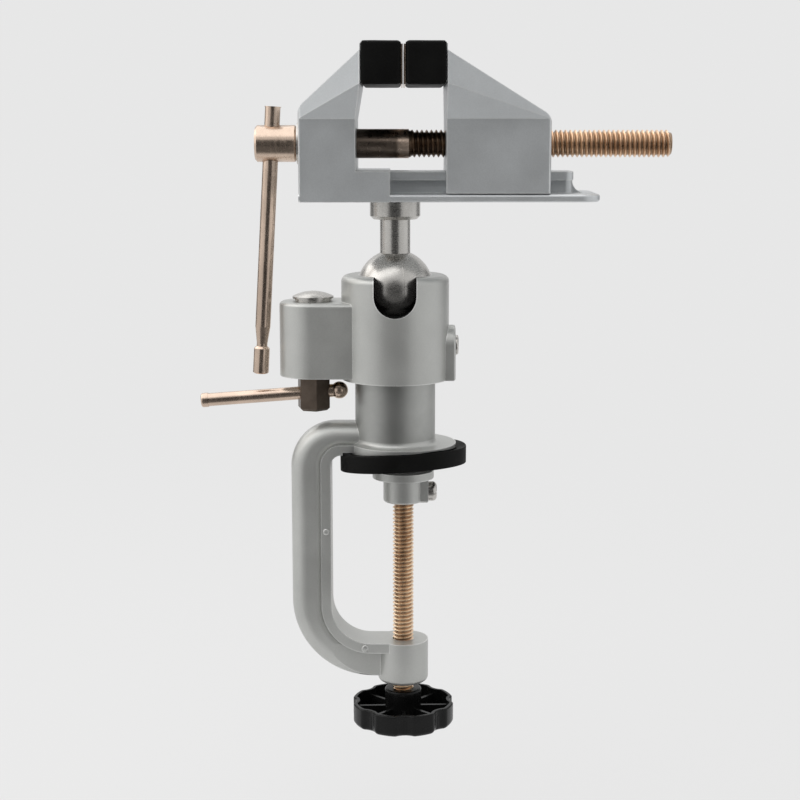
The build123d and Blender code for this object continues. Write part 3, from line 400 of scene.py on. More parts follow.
class Finish:
    """A material and its shader, with helpers for the nodes that feed it."""

    def __init__(self, name):
        self.material = bpy.data.materials.new(name)
        self.material.use_nodes = True
        tree = self.material.node_tree
        self.nodes, self.links = tree.nodes, tree.links
        self.shader = self.nodes["Principled BSDF"]
        self.coordinates = self.nodes.new("ShaderNodeTexCoord").outputs["Object"]

    def link(self, output, target):
        self.links.new(output, target)

    def set(self, **values):
        for socket, value in values.items():
            self.shader.inputs[socket.replace("_", " ")].default_value = value

    def noise(self, scale, detail, roughness, stretch=None):
        node = self.nodes.new("ShaderNodeTexNoise")
        node.inputs["Scale"].default_value = scale
        node.inputs["Detail"].default_value = detail
        node.inputs["Roughness"].default_value = roughness
        source = self.coordinates
        if stretch:
            mapping = self.nodes.new("ShaderNodeMapping")
            mapping.inputs["Scale"].default_value = stretch
            self.link(source, mapping.inputs["Vector"])
            source = mapping.outputs["Vector"]
        self.link(source, node.inputs["Vector"])
        return node.outputs["Fac"]

    def ramp(self, factor, *stops):
        """A colour ramp of (place, colour) stops."""
        node = self.nodes.new("ShaderNodeValToRGB")
        elements = node.color_ramp.elements
        while len(elements) < len(stops):
            elements.new(0.5)
        for element, (place, colour) in zip(elements, stops):
            element.position = place
            element.color = (*colour, 1.0)
        self.link(factor, node.inputs["Fac"])
        return node.outputs["Color"]

    def between(self, factor, low, high, into_low=0.3, into_high=0.7):
        """A number that runs from low to high as a pattern does."""
        node = self.nodes.new("ShaderNodeMapRange")
        node.inputs["From Min"].default_value = into_low
        node.inputs["From Max"].default_value = into_high
        node.inputs["To Min"].default_value = low
        node.inputs["To Max"].default_value = high
        self.link(factor, node.inputs["Value"])
        return node.outputs["Result"]

    def math(self, operation, *values):
        node = self.nodes.new("ShaderNodeMath")
        node.operation = operation
        for socket, value in zip(node.inputs, values):
            if isinstance(value, (int, float)):
                socket.default_value = value
            else:
                self.link(value, socket)
        return node.outputs["Value"]

    def mix(self, factor, first, second, blend="MIX"):
        """Two colours mixed by a factor, each a colour or an output."""
        node = self.nodes.new("ShaderNodeMix")
        node.data_type = "RGBA"
        node.blend_type = blend
        if isinstance(factor, float):
            node.inputs[0].default_value = factor
        else:
            self.link(factor, node.inputs[0])
        for socket, value in ((node.inputs[6], first), (node.inputs[7], second)):
            if isinstance(value, tuple):
                socket.default_value = (*value, 1.0)
            else:
                self.link(value, socket)
        return node.outputs[2]

    def bump(self, height, distance, strength, onto=None):
        node = self.nodes.new("ShaderNodeBump")
        node.inputs["Distance"].default_value = distance
        node.inputs["Strength"].default_value = strength
        self.link(height, node.inputs["Height"])
        if onto is not None:
            self.link(onto, node.inputs["Normal"])
        return node.outputs["Normal"]

    def edge_highlight_mask(self, radius, low, high):
        """One along edges and nothing on flat faces, between two amounts of turn: the mask
        of a painted edge highlight.
        """
        bevel = self.nodes.new("ShaderNodeBevel")
        bevel.samples = 4
        bevel.inputs["Radius"].default_value = radius
        geometry = self.nodes.new("ShaderNodeNewGeometry")
        product = self.nodes.new("ShaderNodeVectorMath")
        product.operation = "DOT_PRODUCT"
        self.link(bevel.outputs["Normal"], product.inputs[0])
        self.link(geometry.outputs["Normal"], product.inputs[1])
        away = self.math("SUBTRACT", 1.0, product.outputs["Value"])
        return self.between(away, 0.0, 1.0, low, high)


def shade(colour, factor):
    return tuple(min(1.0, part * factor) for part in colour)


def cast_finish(name, colour, metallic):
    """Silver lacquer over a blasted casting: fine grain, soft mottling, and a painted
    highlight along the edges.
    """
    made = Finish(name)
    mottle = made.noise(55.0, 3.0, 0.55)
    grain = made.noise(2600.0, 2.0, 0.5)
    base = made.ramp(mottle, (0.3, shade(colour, 0.93)), (0.7, shade(colour, 1.05)))
    speck = made.ramp(grain, (0.35, (0.90, 0.90, 0.90)), (0.65, (1.0, 1.0, 1.0)))
    base = made.mix(0.6, base, speck, "MULTIPLY")
    # painted highlight: the edges are lightened towards near white, for light caught on
    # their rounding
    edge = made.math("MULTIPLY", made.edge_highlight_mask(0.7 * MM, 0.002, 0.10), 0.7)
    base = made.mix(edge, base, (0.92, 0.92, 0.91))
    made.link(base, made.shader.inputs["Base Color"])
    made.set(Metallic=metallic)
    made.link(made.between(mottle, 0.36, 0.43), made.shader.inputs["Roughness"])
    wave = made.noise(180.0, 2.0, 0.5)
    normal = made.bump(wave, 0.05 * MM, 0.35)
    normal = made.bump(grain, 0.02 * MM, 0.5, normal)
    made.link(normal, made.shader.inputs["Normal"])
    return made.material


def metal_finish(name, colour, roughness, spread, tarnish, stretch=(1.0, 1.0, 1.0),
                 painted_highlight=None):
    """Bare or plated metal with fine tool marks and a little tarnish.

    The last argument, if given, is where a painted highlight begins along X, and its
    colour, which replaces the darker shaded colour from there on.
    """
    made = Finish(name)
    stain = made.noise(90.0, 4.0, 0.6)
    marks = made.noise(900.0, 3.0, 0.6, stretch)
    base = made.ramp(stain, (0.32, shade(colour, tarnish)), (0.62, colour))
    if painted_highlight:
        begin, highlight_colour = painted_highlight
        split = made.nodes.new("ShaderNodeSeparateXYZ")
        made.link(made.coordinates, split.inputs["Vector"])
        along = made.math(
            "ADD", split.outputs["X"], made.math("MULTIPLY", stain, 2.0 * MM))
        base = made.mix(
            made.between(along, 0.0, 1.0, begin, begin + 1.0 * MM), base, highlight_colour)
    made.link(base, made.shader.inputs["Base Color"])
    made.set(Metallic=1.0)
    made.link(made.between(marks, roughness, roughness + spread),
              made.shader.inputs["Roughness"])
    made.link(made.bump(marks, 0.008 * MM, 0.5), made.shader.inputs["Normal"])
    return made.material


def thread_finish(name, colour, axis, centre, crest, depth, shaded_span=None):
    """Coppery plated thread, with painted shade that darkens its roots and lifts towards
    its crests, and more painted shade along a stretch of X.

    axis is the screw's direction, and the last argument gives where along X that painted
    shade begins to thin out and where it ends.
    """
    made = Finish(name)
    split = made.nodes.new("ShaderNodeSeparateXYZ")
    made.link(made.coordinates, split.inputs["Vector"])
    across = [letter for letter in "XYZ" if letter != axis]
    squares = []
    for letter in across:
        away = made.math("SUBTRACT", split.outputs[letter], centre["XYZ".index(letter)])
        squares.append(made.math("MULTIPLY", away, away))
    radius = made.math("SQRT", made.math("ADD", *squares))
    height = made.between(radius, 0.0, 1.0, crest - depth, crest)
    stain = made.noise(140.0, 4.0, 0.6)
    marks = made.noise(1500.0, 2.0, 0.5)
    # painted shade: darkest in the thread's roots, lightest on its crests
    base = made.ramp(
        height,
        (0.0, shade(colour, 0.55)), (0.45, shade(colour, 0.85)),
        (0.8, colour), (1.0, shade(colour, 1.25)))
    patina = made.ramp(stain, (0.3, (0.72, 0.66, 0.62)), (0.65, (1.0, 1.0, 1.0)))
    base = made.mix(0.8, base, patina, "MULTIPLY")
    # painted shade: the thread is darkened fully up to the span's start, fading out towards
    # its end
    if shaded_span:
        span_shade = made.between(split.outputs["X"], 1.0, 0.0, *shaded_span)
        base = made.mix(span_shade, base, (0.24, 0.22, 0.21), "MULTIPLY")
    made.link(base, made.shader.inputs["Base Color"])
    made.set(Metallic=1.0)
    made.link(made.between(marks, 0.24, 0.40), made.shader.inputs["Roughness"])
    made.link(made.bump(marks, 0.01 * MM, 0.5), made.shader.inputs["Normal"])
    return made.material


def rubber_finish(name, colour):
    """Matt black rubber, dusty in places, with a moulded grain."""
    made = Finish(name)
    dust = made.noise(70.0, 5.0, 0.62)
    grain = made.noise(1800.0, 2.0, 0.5)
    base = made.ramp(
        dust, (0.40, colour), (0.62, shade(colour, 1.4)), (0.80, shade(colour, 1.9)))
    made.link(base, made.shader.inputs["Base Color"])
    made.set(Specular_IOR_Level=0.08)
    made.link(made.between(dust, 0.46, 0.66), made.shader.inputs["Roughness"])
    normal = made.bump(made.noise(420.0, 4.0, 0.6), 0.14 * MM, 0.6)
    normal = made.bump(grain, 0.02 * MM, 0.5, normal)
    made.link(normal, made.shader.inputs["Normal"])
    return made.material


def plastic_finish(name, colour):
    """Glossy black moulded plastic with a slight orange peel and handling marks."""
    made = Finish(name)
    peel = made.noise(420.0, 2.0, 0.5)
    marks = made.noise(110.0, 5.0, 0.65)
    base = made.ramp(marks, (0.35, colour), (0.70, shade(colour, 1.8)))
    made.link(base, made.shader.inputs["Base Color"])
    made.set(Specular_IOR_Level=0.16, Coat_Weight=0.05, Coat_Roughness=0.12)
    made.link(made.between(marks, 0.16, 0.34), made.shader.inputs["Roughness"])
    made.link(made.bump(peel, 0.02 * MM, 0.4), made.shader.inputs["Normal"])
    return made.material


class OBJECT_OT_ball_vise_finishes(bpy.types.Operator):
    """Makes the finishes and gives one to every CAD node"""

    bl_idname = "object.ball_vise_finishes"
    bl_label = "Finishes"

    shank_shade_stop = 3.5 * MM       # how far before the shank's end its painted shade ends and its painted highlight begins
    finish_of_slot = {
        "cast_aluminium": "cast",
        "polished_steel": "polished",
        "bronze_plated_steel": "plating",
        "thread_steel": "clamp_thread",
        "plain_steel": "plain",
        "black_rubber": "rubber",
        "black_plastic": "plastic",
        "bearing_plastic": "bearing",
        "wedge_brass": "brass",
    }
    finish_of_node = {"clamp_spindle": "hub"}

    def execute(self, context):
        self.make_finishes()
        for entry in frame["record"]["subparts"]:
            node, slot_name = entry["node"], entry["material_slot"]
            finish = self.finish_of_node.get(node, self.finish_of_slot[slot_name])
            for slot in frame["nodes"][node].material_slots:
                slot.link = "OBJECT"
                slot.material = Pieces.finish[finish]
        return {"FINISHED"}

    def make_finishes(self):
        size = sizes()
        plating = chosen_colour("plating")
        thread = chosen_colour("thread")
        # the moving jaw's span along X, over which the lead thread's painted shade fades
        # out
        shade_from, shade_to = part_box("moving_jaw")
        made = Pieces.finish
        made["cast"] = cast_finish("cast_aluminium", chosen_colour("casting"), 0.60)
        made["frame_cast"] = cast_finish(
            "frame_aluminium", chosen_colour("frame_casting"), 0.65)
        made["turned"] = metal_finish(
            "turned_aluminium", chosen_colour("turned"), 0.42, 0.10, 0.9, (1.0, 1.0, 6.0))
        made["polished"] = metal_finish(
            "polished_steel", chosen_colour("polished"), 0.23, 0.12, 0.86, (1.0, 1.0, 3.0))
        made["plating"] = metal_finish(
            "bronze_plated_steel", plating, 0.18, 0.14, 0.78, (1.0, 1.0, 0.25))
        made["hub"] = metal_finish(
            "bronze_plated_hub", shade(plating, 0.22), 0.28, 0.16, 0.6)
        # painted shade: the shank is a darker copy of the plating, and its last stretch
        # before the thread gets the full plating colour as a painted highlight
        made["shank"] = metal_finish(
            "bronze_plated_shank", shade(plating, 0.42), 0.24, 0.16, 0.6,
            painted_highlight=(size.shank_end - self.shank_shade_stop, plating))
        made["plain"] = metal_finish(
            "plain_steel", chosen_colour("plain"), 0.22, 0.16, 0.75)
        made["brass"] = metal_finish("wedge_brass", BRASS, 0.25, 0.18, 0.7)
        made["lead_thread"] = thread_finish(
            "lead_thread_steel", thread, "X", (0.0, 0.0, middle_of("thrust_washer").z),
            size.lead_radius, size.lead_depth, (shade_from.x, shade_to.x))
        made["clamp_thread"] = thread_finish(
            "clamp_thread_steel", shade(thread, 1.15), "Z", (0.0, 0.0, 0.0),
            size.clamp_radius, size.clamp_depth)
        made["rubber"] = rubber_finish("black_rubber", chosen_colour("rubber"))
        made["plastic"] = plastic_finish("black_plastic", chosen_colour("plastic"))
        made["bearing"] = plastic_finish("bearing_plastic", BEARING_BLACK_AND_SOCKET_SHADE)


# ---- Castings -----------------------------------------------------------------------


class OBJECT_OT_ball_vise_castings(bpy.types.Operator):
    """Copies of the cast parts with their edges rounded"""

    bl_idname = "object.ball_vise_castings"
    bl_label = "Castings"

    post_over_pad = 6.0 * MM        # the post's turned face begins this far over the pad
    post_radius = 15.0 * MM
    post_margin = 0.3 * MM          # a face of the post lies this near to its radius
    socket_reach = 19.2 * MM        # inside the housing's outer wall
    lug_length = 25.0 * MM          # the lever's lug, which has bores of its own

    def execute(self, context):
        width = sizes().casting_edge
        for node, body, name, finish in (
            ("fixed_jaw", "head", "fixed_jaw_casting", "cast"),
            ("moving_jaw", "moving", "moving_jaw_casting", "cast"),
            ("clamp_frame", "frame", "clamp_frame_casting", "frame_cast"),
            ("socket_housing", "housing", "socket_housing_casting", "frame_cast"),
            ("swivel_foot", "foot", "swivel_foot_casting", "frame_cast"),
        ):
            casting = copy_of(node, name)
            round_edges(casting, width)
            smooth(casting)
            weigh_normals(casting)
            dress(casting, body, "cast_aluminium", Pieces.finish[finish], node)
            if node == "clamp_frame":
                self.turn_post(casting)
            if node == "socket_housing":
                self.shade_socket(casting)
        return {"FINISHED"}

    def turn_post(self, casting):
        """The post's bearing face is bare turned metal."""
        axis = middle_of("ball_stud")
        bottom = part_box("bench_pad")[1].z + self.post_over_pad

        def turned(face):
            away = hypot(face.center.x - axis.x, face.center.y)
            return (face.center.z > bottom
                    and abs(away - self.post_radius) < self.post_margin)

        second_finish(casting, Pieces.finish["turned"], turned)

    def shade_socket(self, casting):
        """Painted shade inside the socket and on the walls of its slot, in the black of the
        bearing plastic.
        """
        axis = middle_of("ball_stud")
        low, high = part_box("socket_housing")
        bottom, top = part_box("ball_seat")[0].z, high.z - sizes().casting_edge

        def in_socket_shade(face):
            away = hypot(face.center.x - axis.x, face.center.y)
            return (bottom < face.center.z < top and away < self.socket_reach
                    and face.center.x > low.x + self.lug_length)

        second_finish(casting, Pieces.finish["bearing"], in_socket_shade)


# ---- Screws ------------------------------------------------------------------------


class OBJECT_OT_ball_vise_lead_screw(bpy.types.Operator):
    """Lead screw: smooth head and shank, and a helical thread that runs out on the shank"""

    bl_idname = "object.ball_vise_lead_screw"
    bl_label = "Lead screw"

    seam_overlap = 0.5 * MM         # how far the thread reaches into the shank
    shank_shade_past_washer = 1.0 * MM   # the head's plain plating ends this far past it, and the shank's painted shade begins
    head_edge = 0.3 * MM
    end_bevel = 1.2 * MM
    runout_turns = 1.6

    def execute(self, context):
        washer = middle_of("thrust_washer")
        size = sizes()
        head = copy_of("lead_screw", "lead_screw_head")
        trim(head, (size.shank_end, 0.0, 0.0), (1.0, 0.0, 0.0))
        round_edges(head, self.head_edge, 2, 50.0)
        outward(head)
        smooth(head, 40.0)
        dress(head, "screw", "bronze_plated_steel", Pieces.finish["plating"],
              "lead_screw")
        # painted shade: the shank's faces past the washer take the darker shaded copy of
        # the plating
        second_finish(head, Pieces.finish["shank"],
                      lambda face: face.center.x > washer.x + self.shank_shade_past_washer)
        crest, depth = size.lead_radius, size.lead_depth
        start, end = size.shank_end - self.seam_overlap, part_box("lead_screw")[1].x
        thread = threaded_rod(
            "lead_screw_thread", crest, depth, size.lead_pitch, start, end)
        fade = self.runout_turns * size.lead_pitch
        for vert in thread.data.vertices:
            radius = hypot(vert.co.x, vert.co.y)
            share = within_one((start + fade - vert.co.z) / fade)
            if radius > 0.5 * crest and share > 0.0:
                spread(vert, (radius + (crest - radius) * share) / radius)
        taper(thread, lambda z: crest - max(0.0, self.end_bevel - (end - z)))
        thread.rotation_euler = (0.0, pi / 2, 0.0)
        thread.location = (0.0, 0.0, washer.z)
        settle(thread)
        smooth(thread, 24.0)
        dress(thread, "screw", "thread_steel", Pieces.finish["lead_thread"])
        return {"FINISHED"}


class OBJECT_OT_ball_vise_clamp_screw(bpy.types.Operator):
    """Clamp screw: a helical thread from the knob to the foot, and its grooved tip"""

    bl_idname = "object.ball_vise_clamp_screw"
    bl_label = "Clamp screw"

    seam_in_foot = 1.0 * MM         # the thread meets the tip this far inside the foot
    end_bevel = 0.8 * MM

    def execute(self, context):
        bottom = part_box("clamp_screw")[0].z
        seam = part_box("swivel_foot")[0].z + self.seam_in_foot
        size = sizes()
        crest = size.clamp_radius
        tip = copy_of("clamp_screw", "clamp_screw_thread")
        trim(tip, (0.0, 0.0, seam), (0.0, 0.0, -1.0))
        smooth(tip, 40.0)
        thread = threaded_rod(
            "clamp_screw_rod", crest, size.clamp_depth, size.clamp_pitch, bottom, seam)
        taper(thread, lambda z: crest - max(0.0, self.end_bevel - (z - bottom)))
        smooth(thread, 24.0)
        joined(tip, thread)
        dress(tip, "clamp", "thread_steel", Pieces.finish["clamp_thread"],
              "clamp_screw")
        return {"FINISHED"}


# ---- Rubber --------------------------------------------------------------------------


class OBJECT_OT_ball_vise_bench_pad(bpy.types.Operator):
    """Rubber cup over the frame's disc, a little askew, with a recess over the foot"""

    bl_idname = "object.ball_vise_bench_pad"
    bl_label = "Bench pad"

    recess_depth = 0.6 * MM
    edge = 1.5 * MM
    wide_face = 40 * MM * MM        # faces over this area are split into a fan
    side_wave = 0.25 * MM           # how far the rim's side waves out and in
    top_wave = 0.18 * MM            # how far the rim's top waves up and down
    waves = 90.0

    def execute(self, context):
        pad = self.cup()
        self.set_askew(pad)
        smooth(pad, 50.0)
        dress(pad, "frame", "black_rubber", Pieces.finish["rubber"], "bench_pad")
        return {"FINISHED"}

    def cup(self):
        """A round cup with soft edges and a recess in its underside."""
        low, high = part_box("bench_pad")
        size = sizes()
        radius, height = (high.x - low.x) / 2, high.z
        deselect()
        bpy.ops.mesh.primitive_cylinder_add(
            vertices=96, radius=radius, depth=height, location=(0.0, 0.0, height / 2))
        pad = newest("bench_pad_rubber")
        settle(pad)
        edit(pad, "FACE")
        pick(pad, "FACE", lambda face: face.normal.z > 0.9)
        bpy.ops.mesh.inset(thickness=radius - size.pad_cup_radius)
        bpy.ops.mesh.extrude_region_move(
            TRANSFORM_OT_translate={"value": (0.0, 0.0, size.pad_floor - height)})
        pick(pad, "FACE", lambda face: face.normal.z < -0.9)
        bpy.ops.mesh.inset(thickness=radius - size.pad_recess_radius)
        bpy.ops.mesh.extrude_region_move(
            TRANSFORM_OT_translate={"value": (0.0, 0.0, self.recess_depth)})
        leave_edit()
        round_edges(pad, self.edge, 5, 60.0)
        edit(pad, "FACE")
        pick(pad, "FACE", lambda face: face.calc_area() > self.wide_face
             or abs(face.normal.z) < 0.2)
        bpy.ops.mesh.poke()
        leave_edit()
        outward(pad)
        return pad

    def set_askew(self, pad):
        """Lifts the rim on the right and in front, and gives it a slight wave.

        The recess and the cup's floor, which the frame's disc holds, stay level.
        """
        low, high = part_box("bench_pad")
        size = sizes()
        radius, height = (high.x - low.x) / 2, high.z
        cup, recess = size.pad_cup_radius, size.pad_recess_radius
        for vert in pad.data.vertices:
            away = hypot(vert.co.x, vert.co.y)
            free = within_one((away - recess) / (radius - recess))
            # inside the cup its floor stays, and its wall follows the rim
            if vert.co.z > size.pad_floor - 0.1 * MM and away < cup * 1.01:
                free = 0.0 if vert.co.z < size.pad_floor + 0.5 * MM else 1.0
            wave = noise.noise(
                Vector((vert.co.x, vert.co.y, 0.4 * vert.co.z)) * self.waves)
            lift = size.pad_lift * vert.co.x + size.pad_front_lift * max(0.0, -vert.co.y)
            vert.co.z += free * lift / radius
            if away > cup:
                spread(vert, 1.0 + self.side_wave * wave / away)
                vert.co.z += self.top_wave * wave * vert.co.z / height


class OBJECT_OT_ball_vise_jaw_covers(bpy.types.Operator):
    """Rubber sleeves on the jaws: soft rounded skins that swell a little"""

    bl_idname = "object.ball_vise_jaw_covers"
    bl_label = "Jaw covers"

    skin_grid = 0.40 * MM
    wave_height = 0.06 * MM
    waves = 140.0

    def execute(self, context):
        for node, body in (("jaw_cover_fixed", "head"), ("jaw_cover_moving", "moving")):
            cover = copy_of(node, node + "_rubber")
            skin = cover.modifiers.new("Skin", "REMESH")
            skin.mode = "VOXEL"
            skin.voxel_size = self.skin_grid
            ease = cover.modifiers.new("Ease", "SMOOTH")
            ease.factor = 0.5
            ease.iterations = 2
            apply_modifiers(cover)
            self.crown(cover, node, inner=1.0 if body == "head" else -1.0)
            smooth(cover, 60.0)
            dress(cover, body, "black_rubber", Pieces.finish["rubber"], node)
        return {"FINISHED"}

    def crown(self, cover, node, inner):
        """Draws each face in towards its edges, but not the inner one at the other jaw."""
        low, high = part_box(node)
        middle, half = middle_of(node), (high - low) / 2
        swell = sizes().cover_bulge
        for vert in cover.data.vertices:
            place = vert.co - middle
            share = [abs(place[axis]) / half[axis] for axis in range(3)]
            wave = noise.noise(vert.co * self.waves)
            for axis in range(3):
                side = 1.0 if place[axis] > 0 else -1.0
                if share[axis] <= 0.9 or (axis == 0 and side == inner):
                    continue
                across, along = [share[other] for other in range(3) if other != axis]
                fullness = (1 - across ** 2) * (1 - along ** 2)
                vert.co[axis] += side * (
                    swell * (fullness - 1.0) + self.wave_height * (wave - 1.0))


# ---- Small casting and moulding marks ----------------------------------------------------


class OBJECT_OT_ball_vise_marks(bpy.types.Operator):
    """The ball stud's parting line and the ejector marks on the clamp's arm"""

    bl_idname = "object.ball_vise_marks"
    bl_label = "Casting marks"

    line_radius = 0.13 * MM
    collar_edge = 1.2 * MM          # the collar's line stays clear of its rounded edge
    collar_line = 5.2 * MM
    rib_face = 8.0 * MM             # half the thickness of the arm's rib
    ejector_marks_at = (            # x, z and radius
        (-29.0 * MM, -23.7 * MM, 1.15 * MM),
        (-14.5 * MM, -69.4 * MM, 1.35 * MM),
    )

    def execute(self, context):
        self.parting_line()
        self.ejector_marks()
        return {"FINISHED"}

    def parting_line(self):
        """A fine seam round the ball and up both sides of the neck and the collar."""
        low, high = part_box("ball_stud")
        axis_x = middle_of("ball_stud").x
        radius = (high.y - low.y) / 2
        size = sizes()
        turn = size.parting_turn
        ball_z = low.z + radius
        deselect()
        bpy.ops.mesh.primitive_torus_add(
            major_radius=radius, minor_radius=self.line_radius, major_segments=120,
            minor_segments=8, location=(axis_x, 0.0, ball_z),
            rotation=(pi / 2, 0.0, pi / 2 + turn))
        seam = newest("ball_stud_parting_line")
        settle(seam)
        # the ball's seam ends just under the neck, and the neck's lines overlap it
        top = ball_z + sqrt(radius ** 2 - size.neck_radius ** 2) - 0.4 * MM
        trim(seam, (0.0, 0.0, top), (0.0, 0.0, 1.0))
        lines = []
        for away, bottom, height in (
            (size.neck_radius, top - 0.3 * MM, size.collar_bottom - top + 0.2 * MM),
            (size.collar_radius, size.collar_bottom + self.collar_edge, self.collar_line),
        ):
            for side in (-1.0, 1.0):
                deselect()
                bpy.ops.mesh.primitive_cylinder_add(
                    vertices=8, radius=self.line_radius, depth=height,
                    location=(axis_x - side * away * sin(turn),
                              side * away * cos(turn), bottom + height / 2))
                line = newest("line")
                settle(line)
                lines.append(line)
        joined(seam, *lines)
        smooth(seam, 60.0)
        dress(seam, "stud", "polished_steel", Pieces.finish["polished"])

    def ejector_marks(self):
        """Low round marks on both faces of the arm."""
        marks = []
        for x, z, radius in self.ejector_marks_at:
            for side in (-1.0, 1.0):
                deselect()
                bpy.ops.mesh.primitive_uv_sphere_add(
                    segments=24, ring_count=12, radius=radius,
                    location=(x, side * self.rib_face, z), scale=(1.0, 0.42, 1.1))
                mark = newest("mark")
                settle(mark)
                marks.append(mark)
        marks[0].name = "clamp_frame_marks"
        together = joined(*marks)
        smooth(together, 60.0)
        dress(together, "frame", "cast_aluminium", Pieces.finish["frame_cast"])


# ---- Stage ------------------------------------------------------------------------------


def soft_box(name, place, aim, width, height, watts, colour):
    """A large soft lamp at a place, facing a point."""
    lamp = bpy.data.lights.new(name, "AREA")
    lamp.shape = "RECTANGLE"
    lamp.size = width
    lamp.size_y = height
    lamp.energy = watts
    lamp.color = colour
    obj = bpy.data.objects.new(name, lamp)
    bpy.context.scene.collection.objects.link(obj)
    obj.location = place
    obj.rotation_mode = "QUATERNION"
    obj.rotation_quaternion = (Vector(aim) - Vector(place)).to_track_quat("-Z", "Y")


def straight_rays(nodes, links):
    """One for rays from the camera, off polished surfaces and through clear ones."""
    path = nodes.new("ShaderNodeLightPath")
    total = path.outputs["Is Camera Ray"]
    for kind in ("Is Glossy Ray", "Is Transmission Ray"):
        either = nodes.new("ShaderNodeMath")
        either.operation = "MAXIMUM"
        links.new(total, either.inputs[0])
        links.new(path.outputs[kind], either.inputs[1])
        total = either.outputs["Value"]
    return total


def reflected_card(name, place, facing, width, height, colour):
    """A soft-edged card that is only seen in reflections, for the room round the object."""
    deselect()
    bpy.ops.mesh.primitive_plane_add(size=1.0)
    card = newest(name)
    card.scale = (width, height, 1.0)
    card.location = place
    card.rotation_mode = "QUATERNION"
    card.rotation_quaternion = Vector(facing).to_track_quat("Z", "Y")
    settle(card)
    made = Finish(name)
    made.set(Base_Color=(*colour, 1.0), Roughness=1.0, Specular_IOR_Level=0.0)
    upright = abs(facing[2]) < 0.5
    reach = (width / 2, width / 2, height / 2) if upright else (width / 2, height / 2, 1.0)
    offset = made.nodes.new("ShaderNodeVectorMath")
    offset.operation = "SUBTRACT"
    offset.inputs[1].default_value = place
    made.link(made.coordinates, offset.inputs[0])
    share = made.nodes.new("ShaderNodeVectorMath")
    share.operation = "DIVIDE"
    share.inputs[1].default_value = reach
    made.link(offset.outputs["Vector"], share.inputs[0])
    away = made.nodes.new("ShaderNodeVectorMath")
    away.operation = "LENGTH"
    made.link(share.outputs["Vector"], away.inputs[0])
    clear = made.nodes.new("ShaderNodeBsdfTransparent")
    fade = made.nodes.new("ShaderNodeMixShader")
    made.link(made.between(away.outputs["Value"], 0.0, 1.0, 0.8, 1.0),
              fade.inputs["Fac"])
    made.link(made.shader.outputs["BSDF"], fade.inputs[1])
    made.link(clear.outputs["BSDF"], fade.inputs[2])
    made.link(fade.outputs["Shader"], made.nodes["Material Output"].inputs["Surface"])
    card.data.materials.append(made.material)
    card.visible_camera = False
    card.visible_diffuse = False
    card.visible_shadow = False


